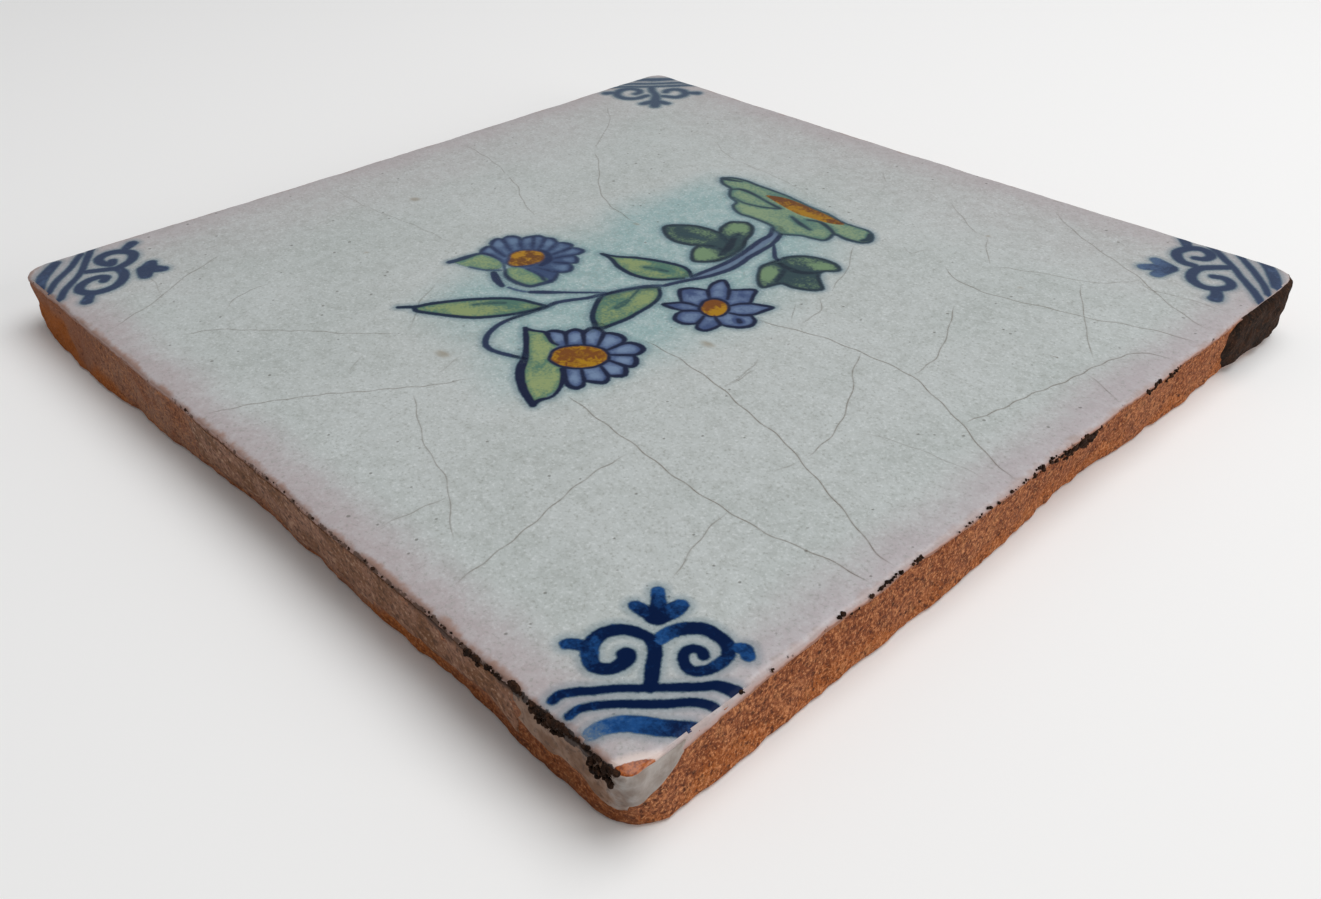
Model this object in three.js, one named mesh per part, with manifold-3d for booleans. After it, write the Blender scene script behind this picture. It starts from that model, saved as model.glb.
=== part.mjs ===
// A tin-glazed earthenware wall tile, painted by hand with scroll corners and a flower spray.
// Millimetres. +Z stands out of the glazed face, +Y is the top of the painted picture, and the
// origin is the middle of the underside. The corners are counted round from the picture's
// bottom right: bottom right, top right, top left, bottom left.
import * as THREE from 'three';
import { mergeVertices } from 'three/addons/utils/BufferGeometryUtils.js';
import Module from 'manifold-3d';

const wasm = await Module();
wasm.setup();

// The clay slab
const tileSide = 130;
const biscuitThickness = 8;
const faceCornerRadius = [1.2, 3, 2.6, 3.4];
const footCornerRadius = [4.5, 4, 4, 5];
const edgeBow = [0, 0.6, 0.6, 0]; // how far each edge of the face draws in at its middle
const footWear = 0.5; // the worn lower edge
const sideSteps = 24;
const cornerSteps = 4;

// How far the hand-trimmed foot stands inside the face's edge. Each entry is a place on the way
// round, counted in sides from the bottom right corner, and the inset there.
const footInset = [
  [0, 0.2], [0.05, -0.8], [0.09, -0.8], [0.15, -0.4], [0.34, -0.3], [0.43, 0], [0.5, 0.9],
  [0.58, 1.4], [0.68, 0.5], [0.76, 0.2], [0.85, 0.6], [0.94, 0.1], [1, 0.8],
  [1.25, -0.4], [1.5, 0.6], [1.73, -0.8], [1.78, -0.8], [2, 0.3],
  [2.25, 0.9], [2.5, -0.2], [2.73, -0.8], [2.78, -0.8], [3, 1],
  [3.09, -0.5], [3.17, -0.8], [3.21, -0.8], [3.27, 0.2], [3.32, -0.1], [3.4, 0.6], [3.5, 1.3],
  [3.61, 1], [3.7, 0.55], [3.83, 1], [3.89, 0.25], [3.95, 0.3], [4, 0.2],
];

// The glaze
const glazeThickness = 0.5;
const glazeRoll = 0.7; // width of the rounded rim
const rimSteps = 2;
const rimRise = 0.15; // straight part of the rim, below the rounding
const chipReach = 2; // how far the chip at the bottom right corner cuts in, along the diagonal
const bareShare = 0.58; // the inner edge of the bare border round the spray, as a share of the face

// The paint. Its points are those of a tile of this side, and grow with the tile.
const drawingSide = 130;
const washThickness = 0.08;
const lineThickness = 0.08;
const paintGap = 0.3; // between two colours that lie side by side
const rimMargin = 0.15; // the paint stops this far inside the flat of the face
const brushStep = 1.3; // length of one facet along a stroke
const leafBrush = 0.75;
const petalBrush = 0.6;
const centreBrush = 0.45;
const stemBrush = 0.6;
const scrollBrush = 1.35;
const bandBrush = 1.1;
const fillBrush = 2.4;
const petalSlimness = 0.32; // half the width of a petal's room, as a share of its reach

// What sticks to the sides
const residueClearance = 0.15;
const dripThickness = 0.4;
const overrunThickness = 0.2;
const crustThickness = 0.6;
const crumbThickness = 0.55;
const endSwell = 0.35; // a lump's thickness at its two ends, as a share of that at its middle

const half = tileSide / 2;
const faceHeight = biscuitThickness + glazeThickness;
const washTop = faceHeight + washThickness;
const lineTop = washTop + lineThickness;
const drawingScale = tileSide / drawingSide;

function finish(color, roughness) {
  return new THREE.MeshStandardMaterial({ color, roughness, metalness: 0 });
}

const clay = finish(0xa5683f, 0.95);
const tinGlaze = finish(0xc3cac6, 0.3);
const dripGlaze = finish(0xb5b1aa, 0.35);
const mortar = finish(0x2c221d, 0.95);
const darkCobalt = finish(0x15264d, 0.3);
const cobalt = finish(0x33548f, 0.3);
const paleCobalt = finish(0x6d82aa, 0.3);
const leafGreen = finish(0x93a578, 0.3);
const darkGreen = finish(0x2f5450, 0.3);
const ochre = finish(0xc08622, 0.35);

const tile = new THREE.Group();

function addPiece(name, geometry, material) {
  const mesh = new THREE.Mesh(geometry, material);
  mesh.name = name;
  tile.add(mesh);
}

// Solids to and from the joining and cutting library
function toSolid(geometry) {
  const bare = geometry.clone();
  bare.deleteAttribute('normal');
  bare.deleteAttribute('uv');
  const merged = mergeVertices(bare, 1e-4);
  return new wasm.Manifold(new wasm.Mesh({
    numProp: 3,
    vertProperties: new Float32Array(merged.attributes.position.array),
    triVerts: new Uint32Array(merged.index.array),
  }));
}

function toGeometry(solid) {
  const mesh = solid.getMesh();
  const geometry = new THREE.BufferGeometry();
  geometry.setAttribute('position', new THREE.BufferAttribute(mesh.vertProperties, 3));
  geometry.setIndex(new THREE.BufferAttribute(mesh.triVerts, 1));
  return geometry;
}

function join(solids) {
  return solids.reduce((sum, solid) => sum.add(solid));
}

// The sides of the tile, each with its start corner, its direction and its outward normal
const sides = [
  { start: [half, -half], along: [0, 1], out: [1, 0] },
  { start: [half, half], along: [-1, 0], out: [0, 1] },
  { start: [-half, half], along: [0, -1], out: [-1, 0] },
  { start: [-half, -half], along: [1, 0], out: [0, -1] },
];

function insetAt(place) {
  const next = footInset.findIndex(([at]) => at > place);
  if (next < 0) {
    return footInset[footInset.length - 1][1];
  }
  const [from, a] = footInset[next - 1];
  const [to, b] = footInset[next];
  return a + (b - a) * THREE.MathUtils.smoothstep(place, from, to);
}

// One turn round the tile. Each point has its place on the way round, counted in sides.
function outline(radii, bows, inset) {
  const points = [];
  const put = (x, y, nx, ny, place) => {
    const draw = inset((place + 4) % 4);
    points.push({ x: x - nx * draw, y: y - ny * draw, nx, ny, place });
  };
  sides.forEach(({ start, along, out }, k) => {
    const before = sides[(k + 3) % 4].out;
    const r = radii[k];
    for (let i = 0; i <= cornerSteps; i++) {
      const turn = (i / cornerSteps) * Math.PI / 2;
      const nx = before[0] * Math.cos(turn) + out[0] * Math.sin(turn);
      const ny = before[1] * Math.cos(turn) + out[1] * Math.sin(turn);
      const cx = start[0] - r * (before[0] + out[0]);
      const cy = start[1] - r * (before[1] + out[1]);
      const place = k + ((2 * i) / cornerSteps - 1) * (r / tileSide);
      put(cx + nx * r, cy + ny * r, nx, ny, place);
    }
    const first = r;
    const last = tileSide - radii[(k + 1) % 4];
    for (let i = 1; i < sideSteps; i++) {
      const way = first + ((last - first) * i) / sideSteps;
      const bow = bows[k] * Math.sin((Math.PI * (way - first)) / (last - first));
      const x = start[0] + along[0] * way - out[0] * bow;
      const y = start[1] + along[1] * way - out[1] * bow;
      put(x, y, out[0], out[1], k + way / tileSide);
    }
  });
  return points;
}

const noInset = () => 0;
const noBow = [0, 0, 0, 0];
const faceOutline = outline(faceCornerRadius, edgeBow, noInset);
const footOutline = outline(footCornerRadius, noBow, insetAt);

function shrunk(points, by) {
  return points.map(({ x, y, nx, ny, place }) => ({ x: x - nx * by, y: y - ny * by, nx, ny, place }));
}

function scaled(points, share) {
  return points.map(({ x, y }) => ({ x: x * share, y: y * share }));
}

// A closed solid through rings of equal count, from the lowest to the highest
function stackRings(rings) {
  const count = rings[0].points.length;
  const position = [];
  const index = [];
  rings.forEach(({ points, z }) => points.forEach(({ x, y }) => position.push(x, y, z)));
  for (let r = 0; r + 1 < rings.length; r++) {
    for (let i = 0; i < count; i++) {
      const a = r * count + i;
      const b = r * count + ((i + 1) % count);
      index.push(a, b, b + count, a, b + count, a + count);
    }
  }
  const bottom = position.length / 3;
  position.push(0, 0, rings[0].z, 0, 0, rings[rings.length - 1].z);
  const lastRing = (rings.length - 1) * count;
  for (let i = 0; i < count; i++) {
    const next = (i + 1) % count;
    index.push(bottom, next, i);
    index.push(bottom + 1, lastRing + i, lastRing + next);
  }
  const geometry = new THREE.BufferGeometry();
  geometry.setAttribute('position', new THREE.Float32BufferAttribute(position, 3));
  geometry.setIndex(index);
  return geometry;
}

// The fired clay slab: ruled sides from the wavy foot to the face
function sideAt(height) {
  const share = height / biscuitThickness;
  return footOutline.map((foot, i) => ({
    x: foot.x + (faceOutline[i].x - foot.x) * share,
    y: foot.y + (faceOutline[i].y - foot.y) * share,
  }));
}

addPiece('biscuit_body', stackRings([
  { points: shrunk(footOutline, footWear), z: 0 },
  { points: sideAt(footWear), z: footWear },
  { points: faceOutline, z: biscuitThickness },
]), clay);

// The coat of glaze, with its rounded rim, the bare border of its face and the chipped corner
const rimRings = [
  { points: faceOutline, z: biscuitThickness },
  { points: faceOutline, z: biscuitThickness + rimRise },
];
for (let i = 1; i <= rimSteps; i++) {
  const turn = (i / rimSteps) * Math.PI / 2;
  const rise = (glazeThickness - rimRise) * Math.sin(turn);
  rimRings.push({
    points: shrunk(faceOutline, glazeRoll * (1 - Math.cos(turn))),
    z: biscuitThickness + rimRise + rise,
  });
}
rimRings.push({ points: scaled(faceOutline, bareShare), z: faceHeight });
const chipSide = 3 * chipReach;
const chip = new THREE.BoxGeometry(chipSide, chipSide, chipSide);
chip.rotateZ(Math.PI / 4);
const chipCentre = half + (chipSide / 2 - chipReach) / Math.SQRT2;
chip.translate(chipCentre, -chipCentre, biscuitThickness);
addPiece('tin_glaze', toGeometry(toSolid(stackRings(rimRings)).subtract(toSolid(chip))), tinGlaze);

// A point on the tile's side at a place on the way round, a height, and a distance outwards
function sidePoint(place, height, out) {
  const after = faceOutline.findIndex((point) => point.place > place);
  const next = after < 0 ? 0 : after;
  const prior = (next + faceOutline.length - 1) % faceOutline.length;
  const span = (faceOutline[next].place - faceOutline[prior].place + 4) % 4;
  const share = ((place - faceOutline[prior].place + 4) % 4) / span;
  const mix = (key, ring) => ring[prior][key] * (1 - share) + ring[next][key] * share;
  const rise = height / biscuitThickness;
  const x = mix('x', footOutline) * (1 - rise) + mix('x', faceOutline) * rise;
  const y = mix('y', footOutline) * (1 - rise) + mix('y', faceOutline) * rise;
  const nx = mix('nx', faceOutline);
  const ny = mix('ny', faceOutline);
  const length = Math.hypot(nx, ny);
  return [x + (nx / length) * out, y + (ny / length) * out, height];
}

// The section of a lump: the share of its height and of its thickness at each point
const lumpSection = [[0, 0], [1, 0], [0.85, 0.6], [0.5, 1], [0.15, 0.7]];

// A lump that sticks to the side between two distances from a corner. Its low and high edges are
// heights at evenly spread stations, and it thins towards its ends. It has stations of its own
// and those of the side behind it, but no two that nearly meet.
function residue({ corner, from, to, low, high, thickness }) {
  const start = (corner + from / tileSide + 4) % 4;
  const length = (to - from) / tileSide;
  const own = [0, 0.2, 0.4, 0.6, 0.8, 1];
  const apart = 0.04;
  const shared = faceOutline.map(({ place }) => ((place - start + 4) % 4) / length);
  const clear = (u) => own.every((v) => Math.abs(u - v) > apart);
  const stations = [...own, ...shared.filter((u) => u > 0 && u < 1 && clear(u))].sort((a, b) => a - b);
  const position = [];
  const index = [];
  stations.forEach((u) => {
    const place = (start + u * length) % 4;
    const swell = endSwell + (1 - endSwell) * Math.sin(Math.PI * u) ** 0.5;
    const bottom = valueAt(low, u);
    const tall = valueAt(high, u) - bottom;
    lumpSection.forEach(([rise, share]) => {
      const out = residueClearance + share * swell * thickness;
      position.push(...sidePoint(place, bottom + rise * tall, out));
    });
  });
  const count = lumpSection.length;
  for (let s = 0; s + 1 < stations.length; s++) {
    for (let i = 0; i < count; i++) {
      const a = s * count + i;
      const b = s * count + ((i + 1) % count);
      index.push(a, b, b + count, a, b + count, a + count);
    }
  }
  const last = (stations.length - 1) * count;
  for (let i = 1; i + 1 < count; i++) {
    index.push(0, i + 1, i, last, last + i, last + i + 1);
  }
  const geometry = new THREE.BufferGeometry();
  geometry.setAttribute('position', new THREE.Float32BufferAttribute(position, 3));
  geometry.setIndex(index);
  return geometry;
}

// A value from a list spread evenly over 0 to 1
function valueAt(list, u) {
  const at = u * (list.length - 1);
  const i = Math.min(Math.floor(at), list.length - 2);
  return list.length === 1 ? list[0] : list[i] + (list[i + 1] - list[i]) * (at - i);
}

const belowEdge = (drops) => drops.map((drop) => biscuitThickness - drop);

addPiece('glaze_drip', residue({
  corner: 0, from: -14.5, to: 6.2, thickness: dripThickness,
  low: belowEdge([3.6, 4.8, 4.6, 5, 4.4, 4, 3.6, 2.4]),
  high: belowEdge([1.8, 1.3, 1.2, 1.3, 1.4, 1, 0.8, 1.3]),
}), dripGlaze);
addPiece('glaze_overrun', residue({
  corner: 0, from: -77, to: -15.2, thickness: overrunThickness,
  low: belowEdge([4.6, 5.2, 4.4, 4.1, 5, 4.7, 4.2, 5.1, 5.3, 4.6]),
  high: belowEdge([3.4, 2.6, 1.6, 1.3, 1.4, 1.2, 1.3, 1.2, 1.3, 1.4]),
}), dripGlaze);
addPiece('mortar_crust', residue({
  corner: 1, from: -20.5, to: 1.6, thickness: crustThickness,
  low: [4, 2.2, 1, 0.8, 0.7, 0.7, 0.8, 1.2],
  high: belowEdge([1, 0.2, 0.3, 0.6, 0.2, 0.1, 0.2, 0.6]),
}), mortar);

// Crumbs of mortar along the upper edge: where each starts and ends, from the bottom right
// corner, and how far down its lower and upper edges lie
const crumbs = [
  ['mortar_crumb_bottom_1', -3.9, -1.1, [0.6, 0.8, 0.8, 0.5], [0.2, -0.3, -0.2, 0.1]],
  ['mortar_crumb_bottom_2', -11, -5.4, [0.7, 0.9, 0.9, 0.6], [-0.1, -0.4, -0.3, 0.1]],
  ['mortar_crumb_bottom_3', -21.8, -18.8, [0.6, 0.9, 0.6], [0, -0.3, 0]],
  ['mortar_crumb_right_1', 32, 37, [0.1, 0.3, 0.2, 0.1], [-0.2, -0.4, -0.3, -0.3]],
  ['mortar_crumb_right_2', 60.8, 63.2, [0.5, 0.8, 0.6], [-0.3, -0.4, 0]],
  ['mortar_crumb_right_3', 67, 75.8, [1.1, 1.9, 2, 1.8], [0.1, 0.4, 0.4, 0.6]],
  ['mortar_crumb_right_4', 87, 95.4, [0.4, 0.6, 0.5, 0.3], [-0.1, -0.3, -0.1, -0.1]],
];
crumbs.forEach(([name, from, to, low, high]) => {
  addPiece(name, residue({
    corner: 0, from, to, thickness: crumbThickness, low: belowEdge(low), high: belowEdge(high),
  }), mortar);
});

// Brush marks. A mark is a function that makes its solid between two heights, with a growth all
// round. It is drawn from points on the drawing.
function onTile(points) {
  return points.map(([x, y]) => [x * drawingScale, y * drawingScale]);
}

function smoothLine(points, closed = false) {
  return new THREE.CatmullRomCurve3(points.map(([x, y]) => new THREE.Vector3(x, y, 0)), closed);
}

// A flat solid between the left and right points of a line of stations. At a pointed end the two
// are the same point.
function ribbon(stations, low, high, closed) {
  const position = [];
  const index = [];
  const put = ([x, y]) => position.push(x, y, low, x, y, high) / 6 - 1;
  const pairs = stations.map(({ left, right }) => {
    const first = put(left);
    return { left: first, right: left === right ? first : put(right) };
  });
  const quad = (a, b, c, d) => {
    [[a, b, c], [a, c, d]].forEach((corners) => {
      if (new Set(corners).size === 3) {
        index.push(...corners);
      }
    });
  };
  const bottom = (point) => point * 2;
  const top = (point) => point * 2 + 1;
  pairs.forEach((from, i) => {
    if (i + 1 === pairs.length && !closed) {
      return;
    }
    const to = pairs[(i + 1) % pairs.length];
    quad(top(from.right), top(to.right), top(to.left), top(from.left));
    quad(bottom(from.left), bottom(to.left), bottom(to.right), bottom(from.right));
    quad(bottom(from.right), bottom(to.right), top(to.right), top(from.right));
    quad(bottom(to.left), bottom(from.left), top(from.left), top(to.left));
  });
  const geometry = new THREE.BufferGeometry();
  geometry.setAttribute('position', new THREE.Float32BufferAttribute(position, 3));
  geometry.setIndex(index);
  return toSolid(geometry);
}

function stroke(points, widths) {
  return (low, high, grow) => {
    const path = smoothLine(onTile(points));
    const steps = Math.max(2, Math.round(path.getLength() / brushStep));
    const stations = [];
    for (let i = 0; i <= steps; i++) {
      const u = i / steps;
      const at = path.getPointAt(u);
      const direction = path.getTangentAt(u);
      const facing = Math.atan2(direction.y, direction.x);
      const reach = valueAt(widths, u) / 2 + grow;
      const off = (eighths) => {
        const angle = facing + (eighths * Math.PI) / 4;
        return [at.x + Math.cos(angle) * reach, at.y + Math.sin(angle) * reach];
      };
      const tip = off(i === 0 ? 4 : 0);
      if (i === 0) {
        stations.push({ left: tip, right: tip }, { left: off(3), right: off(-3) });
      }
      stations.push({ left: off(2), right: off(-2) });
      if (i === steps) {
        stations.push({ left: off(1), right: off(-1) }, { left: tip, right: tip });
      }
    }
    return ribbon(stations, low, high, false);
  };
}

// The area inside a loop, and a line of even width along it
function area(loop) {
  return (low, high, grow) => {
    const edge = shiftLoop(onTile(loop), grow);
    const shape = new THREE.Shape(edge.map(([x, y]) => new THREE.Vector2(x, y)));
    const geometry = new THREE.ExtrudeGeometry(shape, { depth: high - low, bevelEnabled: false });
    geometry.translate(0, 0, low);
    return toSolid(geometry);
  };
}

function ring(loop, width) {
  return (low, high, grow) => {
    const inner = shiftLoop(onTile(loop), -width / 2 - grow);
    const outer = shiftLoop(onTile(loop), width / 2 + grow);
    return ribbon(inner.map((left, i) => ({ left, right: outer[i] })), low, high, true);
  };
}

// A counterclockwise loop moved outwards, by the normal of the line through each point's
// neighbours
function shiftLoop(loop, by) {
  const count = loop.length;
  return loop.map(([x, y], i) => {
    const [fromX, fromY] = loop[(i + count - 1) % count];
    const [toX, toY] = loop[(i + 1) % count];
    const out = by / Math.hypot(toX - fromX, toY - fromY);
    return [x + (toY - fromY) * out, y - (toX - fromX) * out];
  });
}

function layer(marks, low, high, grow = 0) {
  return join(marks.map((mark) => mark(low, high, grow)));
}

// Paint straight on the glaze is as thick as a wash with a line on it. A cutter reaches well past
// the paint, above and below.
const bare = (marks) => layer(marks, faceHeight, lineTop);
const wash = (marks, grow = 0) => layer(marks, faceHeight, washTop, grow);
const line = (marks) => layer(marks, washTop, lineTop);
const cutter = (marks, grow) => layer(marks, faceHeight - 1, lineTop + 1, grow);
const roomFor = (marks) => cutter(marks, paintGap);

// Closed loops are drawn counterclockwise. A jointed loop is made of smooth lines that meet end to
// end, and a smooth loop has no corner.
function counterclockwise(loop) {
  const clockwise = THREE.ShapeUtils.isClockWise(loop.map(([x, y]) => new THREE.Vector2(x, y)));
  return clockwise ? [...loop].reverse() : loop;
}

function jointedLoop(lines) {
  return counterclockwise(lines.flatMap((points) => {
    const path = smoothLine(points);
    const steps = Math.max(1, Math.round(path.getLength() / brushStep));
    return path.getSpacedPoints(steps).slice(0, -1).map(({ x, y }) => [x, y]);
  }));
}

function smoothLoop(points) {
  const path = smoothLine(points, true);
  return counterclockwise(path.getPoints(points.length * 2).slice(0, -1).map(({ x, y }) => [x, y]));
}

// An oval, turned by an angle in degrees
function oval(centre, reach, halfWidth, angle) {
  const around = Math.max(8, Math.round((3 * (reach + halfWidth)) / brushStep));
  const tilt = THREE.MathUtils.degToRad(angle);
  const loop = [];
  for (let i = 0; i < around; i++) {
    const turn = (2 * Math.PI * i) / around;
    const along = reach * Math.cos(turn);
    const across = halfWidth * Math.sin(turn);
    loop.push([
      centre[0] + along * Math.cos(tilt) - across * Math.sin(tilt),
      centre[1] + along * Math.sin(tilt) + across * Math.cos(tilt),
    ]);
  }
  return loop;
}

// The scroll corners. Each is drawn for the bottom right corner, from that corner, and turned
// into its place. A scroll winds about its eye from one angle over a sweep, in degrees, while its
// radius falls, evenly where tighten is 1 and late where it is more.
function scrollPath({ eye, from, sweep, radius, tighten }) {
  const turns = 11;
  const path = [];
  for (let i = 0; i <= turns; i++) {
    const share = i / turns;
    const angle = THREE.MathUtils.degToRad(from + sweep * share);
    const reach = radius[0] + (radius[1] - radius[0]) * share ** tighten;
    path.push([eye[0] + reach * Math.cos(angle), eye[1] + reach * Math.sin(angle)]);
  }
  return path;
}

function turned(corner, [x, y]) {
  const px = drawingSide / 2 + x;
  const py = y - drawingSide / 2;
  return [[px, py], [-py, px], [-px, -py], [py, -px]][corner];
}

const flatOfFace = toSolid(stackRings([
  { points: shrunk(faceOutline, glazeRoll + rimMargin), z: faceHeight - 1 },
  { points: shrunk(faceOutline, glazeRoll + rimMargin), z: lineTop + 1 },
]));

function paintCorner(corner, name, drawn) {
  const place = (points) => points.map((point) => turned(corner, point));
  const onFace = (marks) => toGeometry(bare(marks).intersect(flatOfFace));
  const heart = drawn.bud.heart;
  const bud = drawn.bud.lobes.map(([tip, width]) => stroke(place([heart, tip]), [1.7, width]));
  const stemTop = drawn.stem[drawn.stem.length - 1];
  const stemScroll = [...drawn.stem, ...scrollPath(drawn.stemScroll)];
  const sideScroll = [stemTop, ...scrollPath(drawn.sideScroll)];
  const scrolls = [
    stroke(place(stemScroll), [scrollBrush, scrollBrush, scrollBrush * 1.05, scrollBrush * 0.95]),
    stroke(place(sideScroll), [scrollBrush * 1.1, scrollBrush, scrollBrush, scrollBrush * 0.8]),
    stroke(place(drawn.stemKnob), [scrollBrush * 0.9, scrollBrush]),
    stroke(place(drawn.sideKnob), [scrollBrush * 0.8, scrollBrush]),
    stroke(place(drawn.outerBand), [bandBrush, bandBrush, bandBrush * drawn.bandEnd]),
  ];
  addPiece(`${name}_bud`, onFace(bud), cobalt);
  addPiece(`${name}_scrolls`, onFace(scrolls), darkCobalt);
  addPiece(`${name}_inner_band`, onFace([stroke(place(drawn.innerBand), [bandBrush])]), darkCobalt);
  const fillWidths = [fillBrush * 0.7, fillBrush, fillBrush, fillBrush * 0.75];
  addPiece(`${name}_fill`, onFace([stroke(place(drawn.fill), fillWidths)]), cobalt);
}

paintCorner(0, 'corner_bottom_right', {
  bud: {
    heart: [-11.9, 15.4],
    lobes: [[[-14.5, 17.7], 1.4], [[-11.8, 17.4], 1.9], [[-14.5, 15], 1.5]],
  },
  stem: [[-6.05, 8.55], [-7.2, 9.9], [-8.3, 11.2], [-9.2, 12.1]],
  stemScroll: { eye: [-10.9, 9.4], from: 84, sweep: 284, radius: [3.4, 0.8], tighten: 2.5 },
  sideScroll: { eye: [-5.95, 14.5], from: 196, sweep: -420, radius: [4, 0.75], tighten: 1 },
  stemKnob: [[-13.5, 8], [-15.2, 6.8]],
  sideKnob: [[-4.7, 17.1], [-3.1, 17.9]],
  outerBand: [[-10.8, 1.4], [-10.6, 2.8], [-9, 4.9], [-6.6, 7.8], [-3.1, 11.6], [-1.8, 13], [-0.4, 13.6]],
  innerBand: [[-8.4, 1.1], [-8.2, 2.6], [-6.3, 5.4], [-3.5, 8.3], [-2.1, 10], [0.2, 11]],
  fill: [[-5.6, 1.2], [-5.2, 3], [-3.2, 5.1], [-1.2, 6.7], [0.2, 7.8]],
  bandEnd: 1.45,
});

paintCorner(1, 'corner_top_right', {
  bud: {
    heart: [-11.9, 13.6],
    lobes: [[[-10.9, 16.6], 1.8], [[-13.5, 16.8], 1.7], [[-14.6, 14.3], 1.6]],
  },
  stem: [[-4.9, 7.6], [-6.8, 9.5], [-8.5, 10.7]],
  stemScroll: { eye: [-11.1, 7.6], from: 66, sweep: 314, radius: [3.2, 1.7], tighten: 1 },
  sideScroll: { eye: [-4.8, 13.1], from: 202, sweep: -350, radius: [3.6, 1.1], tighten: 1.1 },
  stemKnob: [[-13.1, 6.1], [-15.6, 5]],
  sideKnob: [[-2.9, 15.1], [-1.4, 16.4]],
  outerBand: [[-0.4, 12.9], [-3.1, 9.5], [-6.5, 5.8], [-10.1, 2.2], [-12.4, 0.1]],
  innerBand: [[-0.4, 8.5], [-4, 4.9], [-7.7, 1.7], [-9.5, 0.5]],
  fill: [[-0.1, 5.1], [-1.5, 3.8], [-3.1, 2.6], [-4.9, 1.5], [-6.5, 0.6]],
  bandEnd: 1,
});

paintCorner(2, 'corner_top_left', {
  bud: {
    heart: [-13, 13.2],
    lobes: [[[-15.6, 12.4], 1.6], [[-15.2, 15.4], 1.7], [[-12.3, 16], 1.6]],
  },
  stem: [[-5.6, 7.2], [-7.8, 9], [-9.8, 10]],
  stemScroll: { eye: [-11.6, 6.6], from: 96, sweep: 300, radius: [3, 1.6], tighten: 1 },
  sideScroll: { eye: [-5.5, 13], from: 196, sweep: -350, radius: [3.9, 1.2], tighten: 0.9 },
  stemKnob: [[-14, 4.4], [-15.6, 3.2]],
  sideKnob: [[-3.3, 15.2], [-1.9, 17]],
  outerBand: [[-10.9, 0.6], [-8, 4.3], [-5.2, 7.6], [-2.2, 10.9], [-0.4, 12.9]],
  innerBand: [[-8.6, 0.8], [-5.2, 4.9], [-2.4, 8], [-0.4, 10.4]],
  fill: [[-5.2, 1.1], [-3.4, 3.3], [-1.9, 4.9], [-0.4, 6.6]],
  bandEnd: 1.1,
});

paintCorner(3, 'corner_bottom_left', {
  bud: {
    heart: [-13.6, 12.7],
    lobes: [[[-15.4, 11.9], 1.7], [[-15.4, 14.2], 1.6], [[-12.6, 15.2], 1.8]],
  },
  stem: [[-6.4, 7.3], [-8.5, 9], [-10.5, 9.9]],
  stemScroll: { eye: [-12, 6.3], from: 98, sweep: 300, radius: [2.9, 1.6], tighten: 1 },
  sideScroll: { eye: [-6.6, 12.7], from: 188, sweep: -340, radius: [3.9, 1.4], tighten: 0.8 },
  stemKnob: [[-14.4, 4.1], [-15.7, 3.2]],
  sideKnob: [[-4.4, 14.9], [-3.2, 16.6]],
  outerBand: [[-10.6, 0.7], [-8.3, 4.2], [-5.8, 7.9], [-2.4, 11.3], [-0.8, 13.5]],
  innerBand: [[-8.8, 1.3], [-5.6, 4.9], [-2.2, 8.1], [-0.4, 10.4]],
  fill: [[-4.9, 1.7], [-3.5, 3.1], [-2, 4.7], [-0.8, 6.5]],
  bandEnd: 1,
});

// The spray's stem: two lines that run together, a stalk to the right-hand lobed leaf, a branch
// to the left-hand daisy, and the long curl that ends at the lower daisy
const stemLeftLine = [
  [3.3, 22.5], [3.9, 21], [4.2, 19.2], [4.5, 17.4], [5, 15.5], [5.5, 13], [5.8, 10.5], [5.8, 8],
  [5.6, 5.5], [5.4, 3.3], [5.1, 0.9],
];
const stemRightLine = [
  [5, 22.5], [5.8, 20.9], [6.4, 18.9], [6.7, 16.4], [7.1, 13.6], [7.5, 11.4], [7.7, 8.9],
  [7.4, 6.8], [7, 4.9], [6.1, 2.7], [5.3, 0.5],
];
const stemLowerLine = [
  [5.3, 0.6], [4.5, -1.6], [3.2, -3.6], [2.2, -5.4], [1.5, -6.9], [0.9, -8.7], [0.2, -10.4],
  [-0.5, -12.2], [-1.4, -14], [-2.1, -15.8], [-2.2, -17.6], [-2.4, -19.6], [-2.8, -22.7],
  [-2.6, -25.2], [-1.5, -27.8], [0.2, -29.5], [1.9, -29.9], [3.8, -29.5], [5.7, -28.7],
];
const leftBranch = [[1, -8.4], [-1.3, -10.7], [-2.9, -12.3], [-4.4, -13.8], [-6.4, -15.5]];
const rightStalk = [[6.5, 19.5], [8.1, 18], [9.5, 16.7]];
const stemPair = [
  stroke(stemLeftLine, [stemBrush, stemBrush, stemBrush * 1.2]),
  stroke(stemRightLine, [stemBrush, stemBrush, stemBrush * 1.4]),
];
const stemSingles = [
  stroke(stemLowerLine, [stemBrush * 1.7, stemBrush, stemBrush, stemBrush * 1.3, stemBrush, stemBrush]),
  stroke(leftBranch, [stemBrush, stemBrush, stemBrush * 1.4]),
  stroke(rightStalk, [stemBrush]),
];
const stemBody = area(jointedLoop([
  stemLeftLine, [stemLeftLine[stemLeftLine.length - 1], stemRightLine[stemRightLine.length - 1]],
  [...stemRightLine].reverse(), [stemRightLine[0], stemLeftLine[0]],
]));
const stemWash = wash([stemBody], stemBrush / 2).subtract(roomFor(stemSingles));
addPiece('stem_line', toGeometry(line(stemPair).add(bare(stemSingles))), darkCobalt);
addPiece('stem_wash', toGeometry(stemWash), paleCobalt);
addPiece('left_daisy_stem_dash', toGeometry(bare([
  stroke([[-7.6, -16.7], [-8.7, -17.1], [-9.7, -17.2]], [stemBrush * 1.2]),
])), paleCobalt);
const stemRoom = roomFor([...stemPair, ...stemSingles]);

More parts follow.
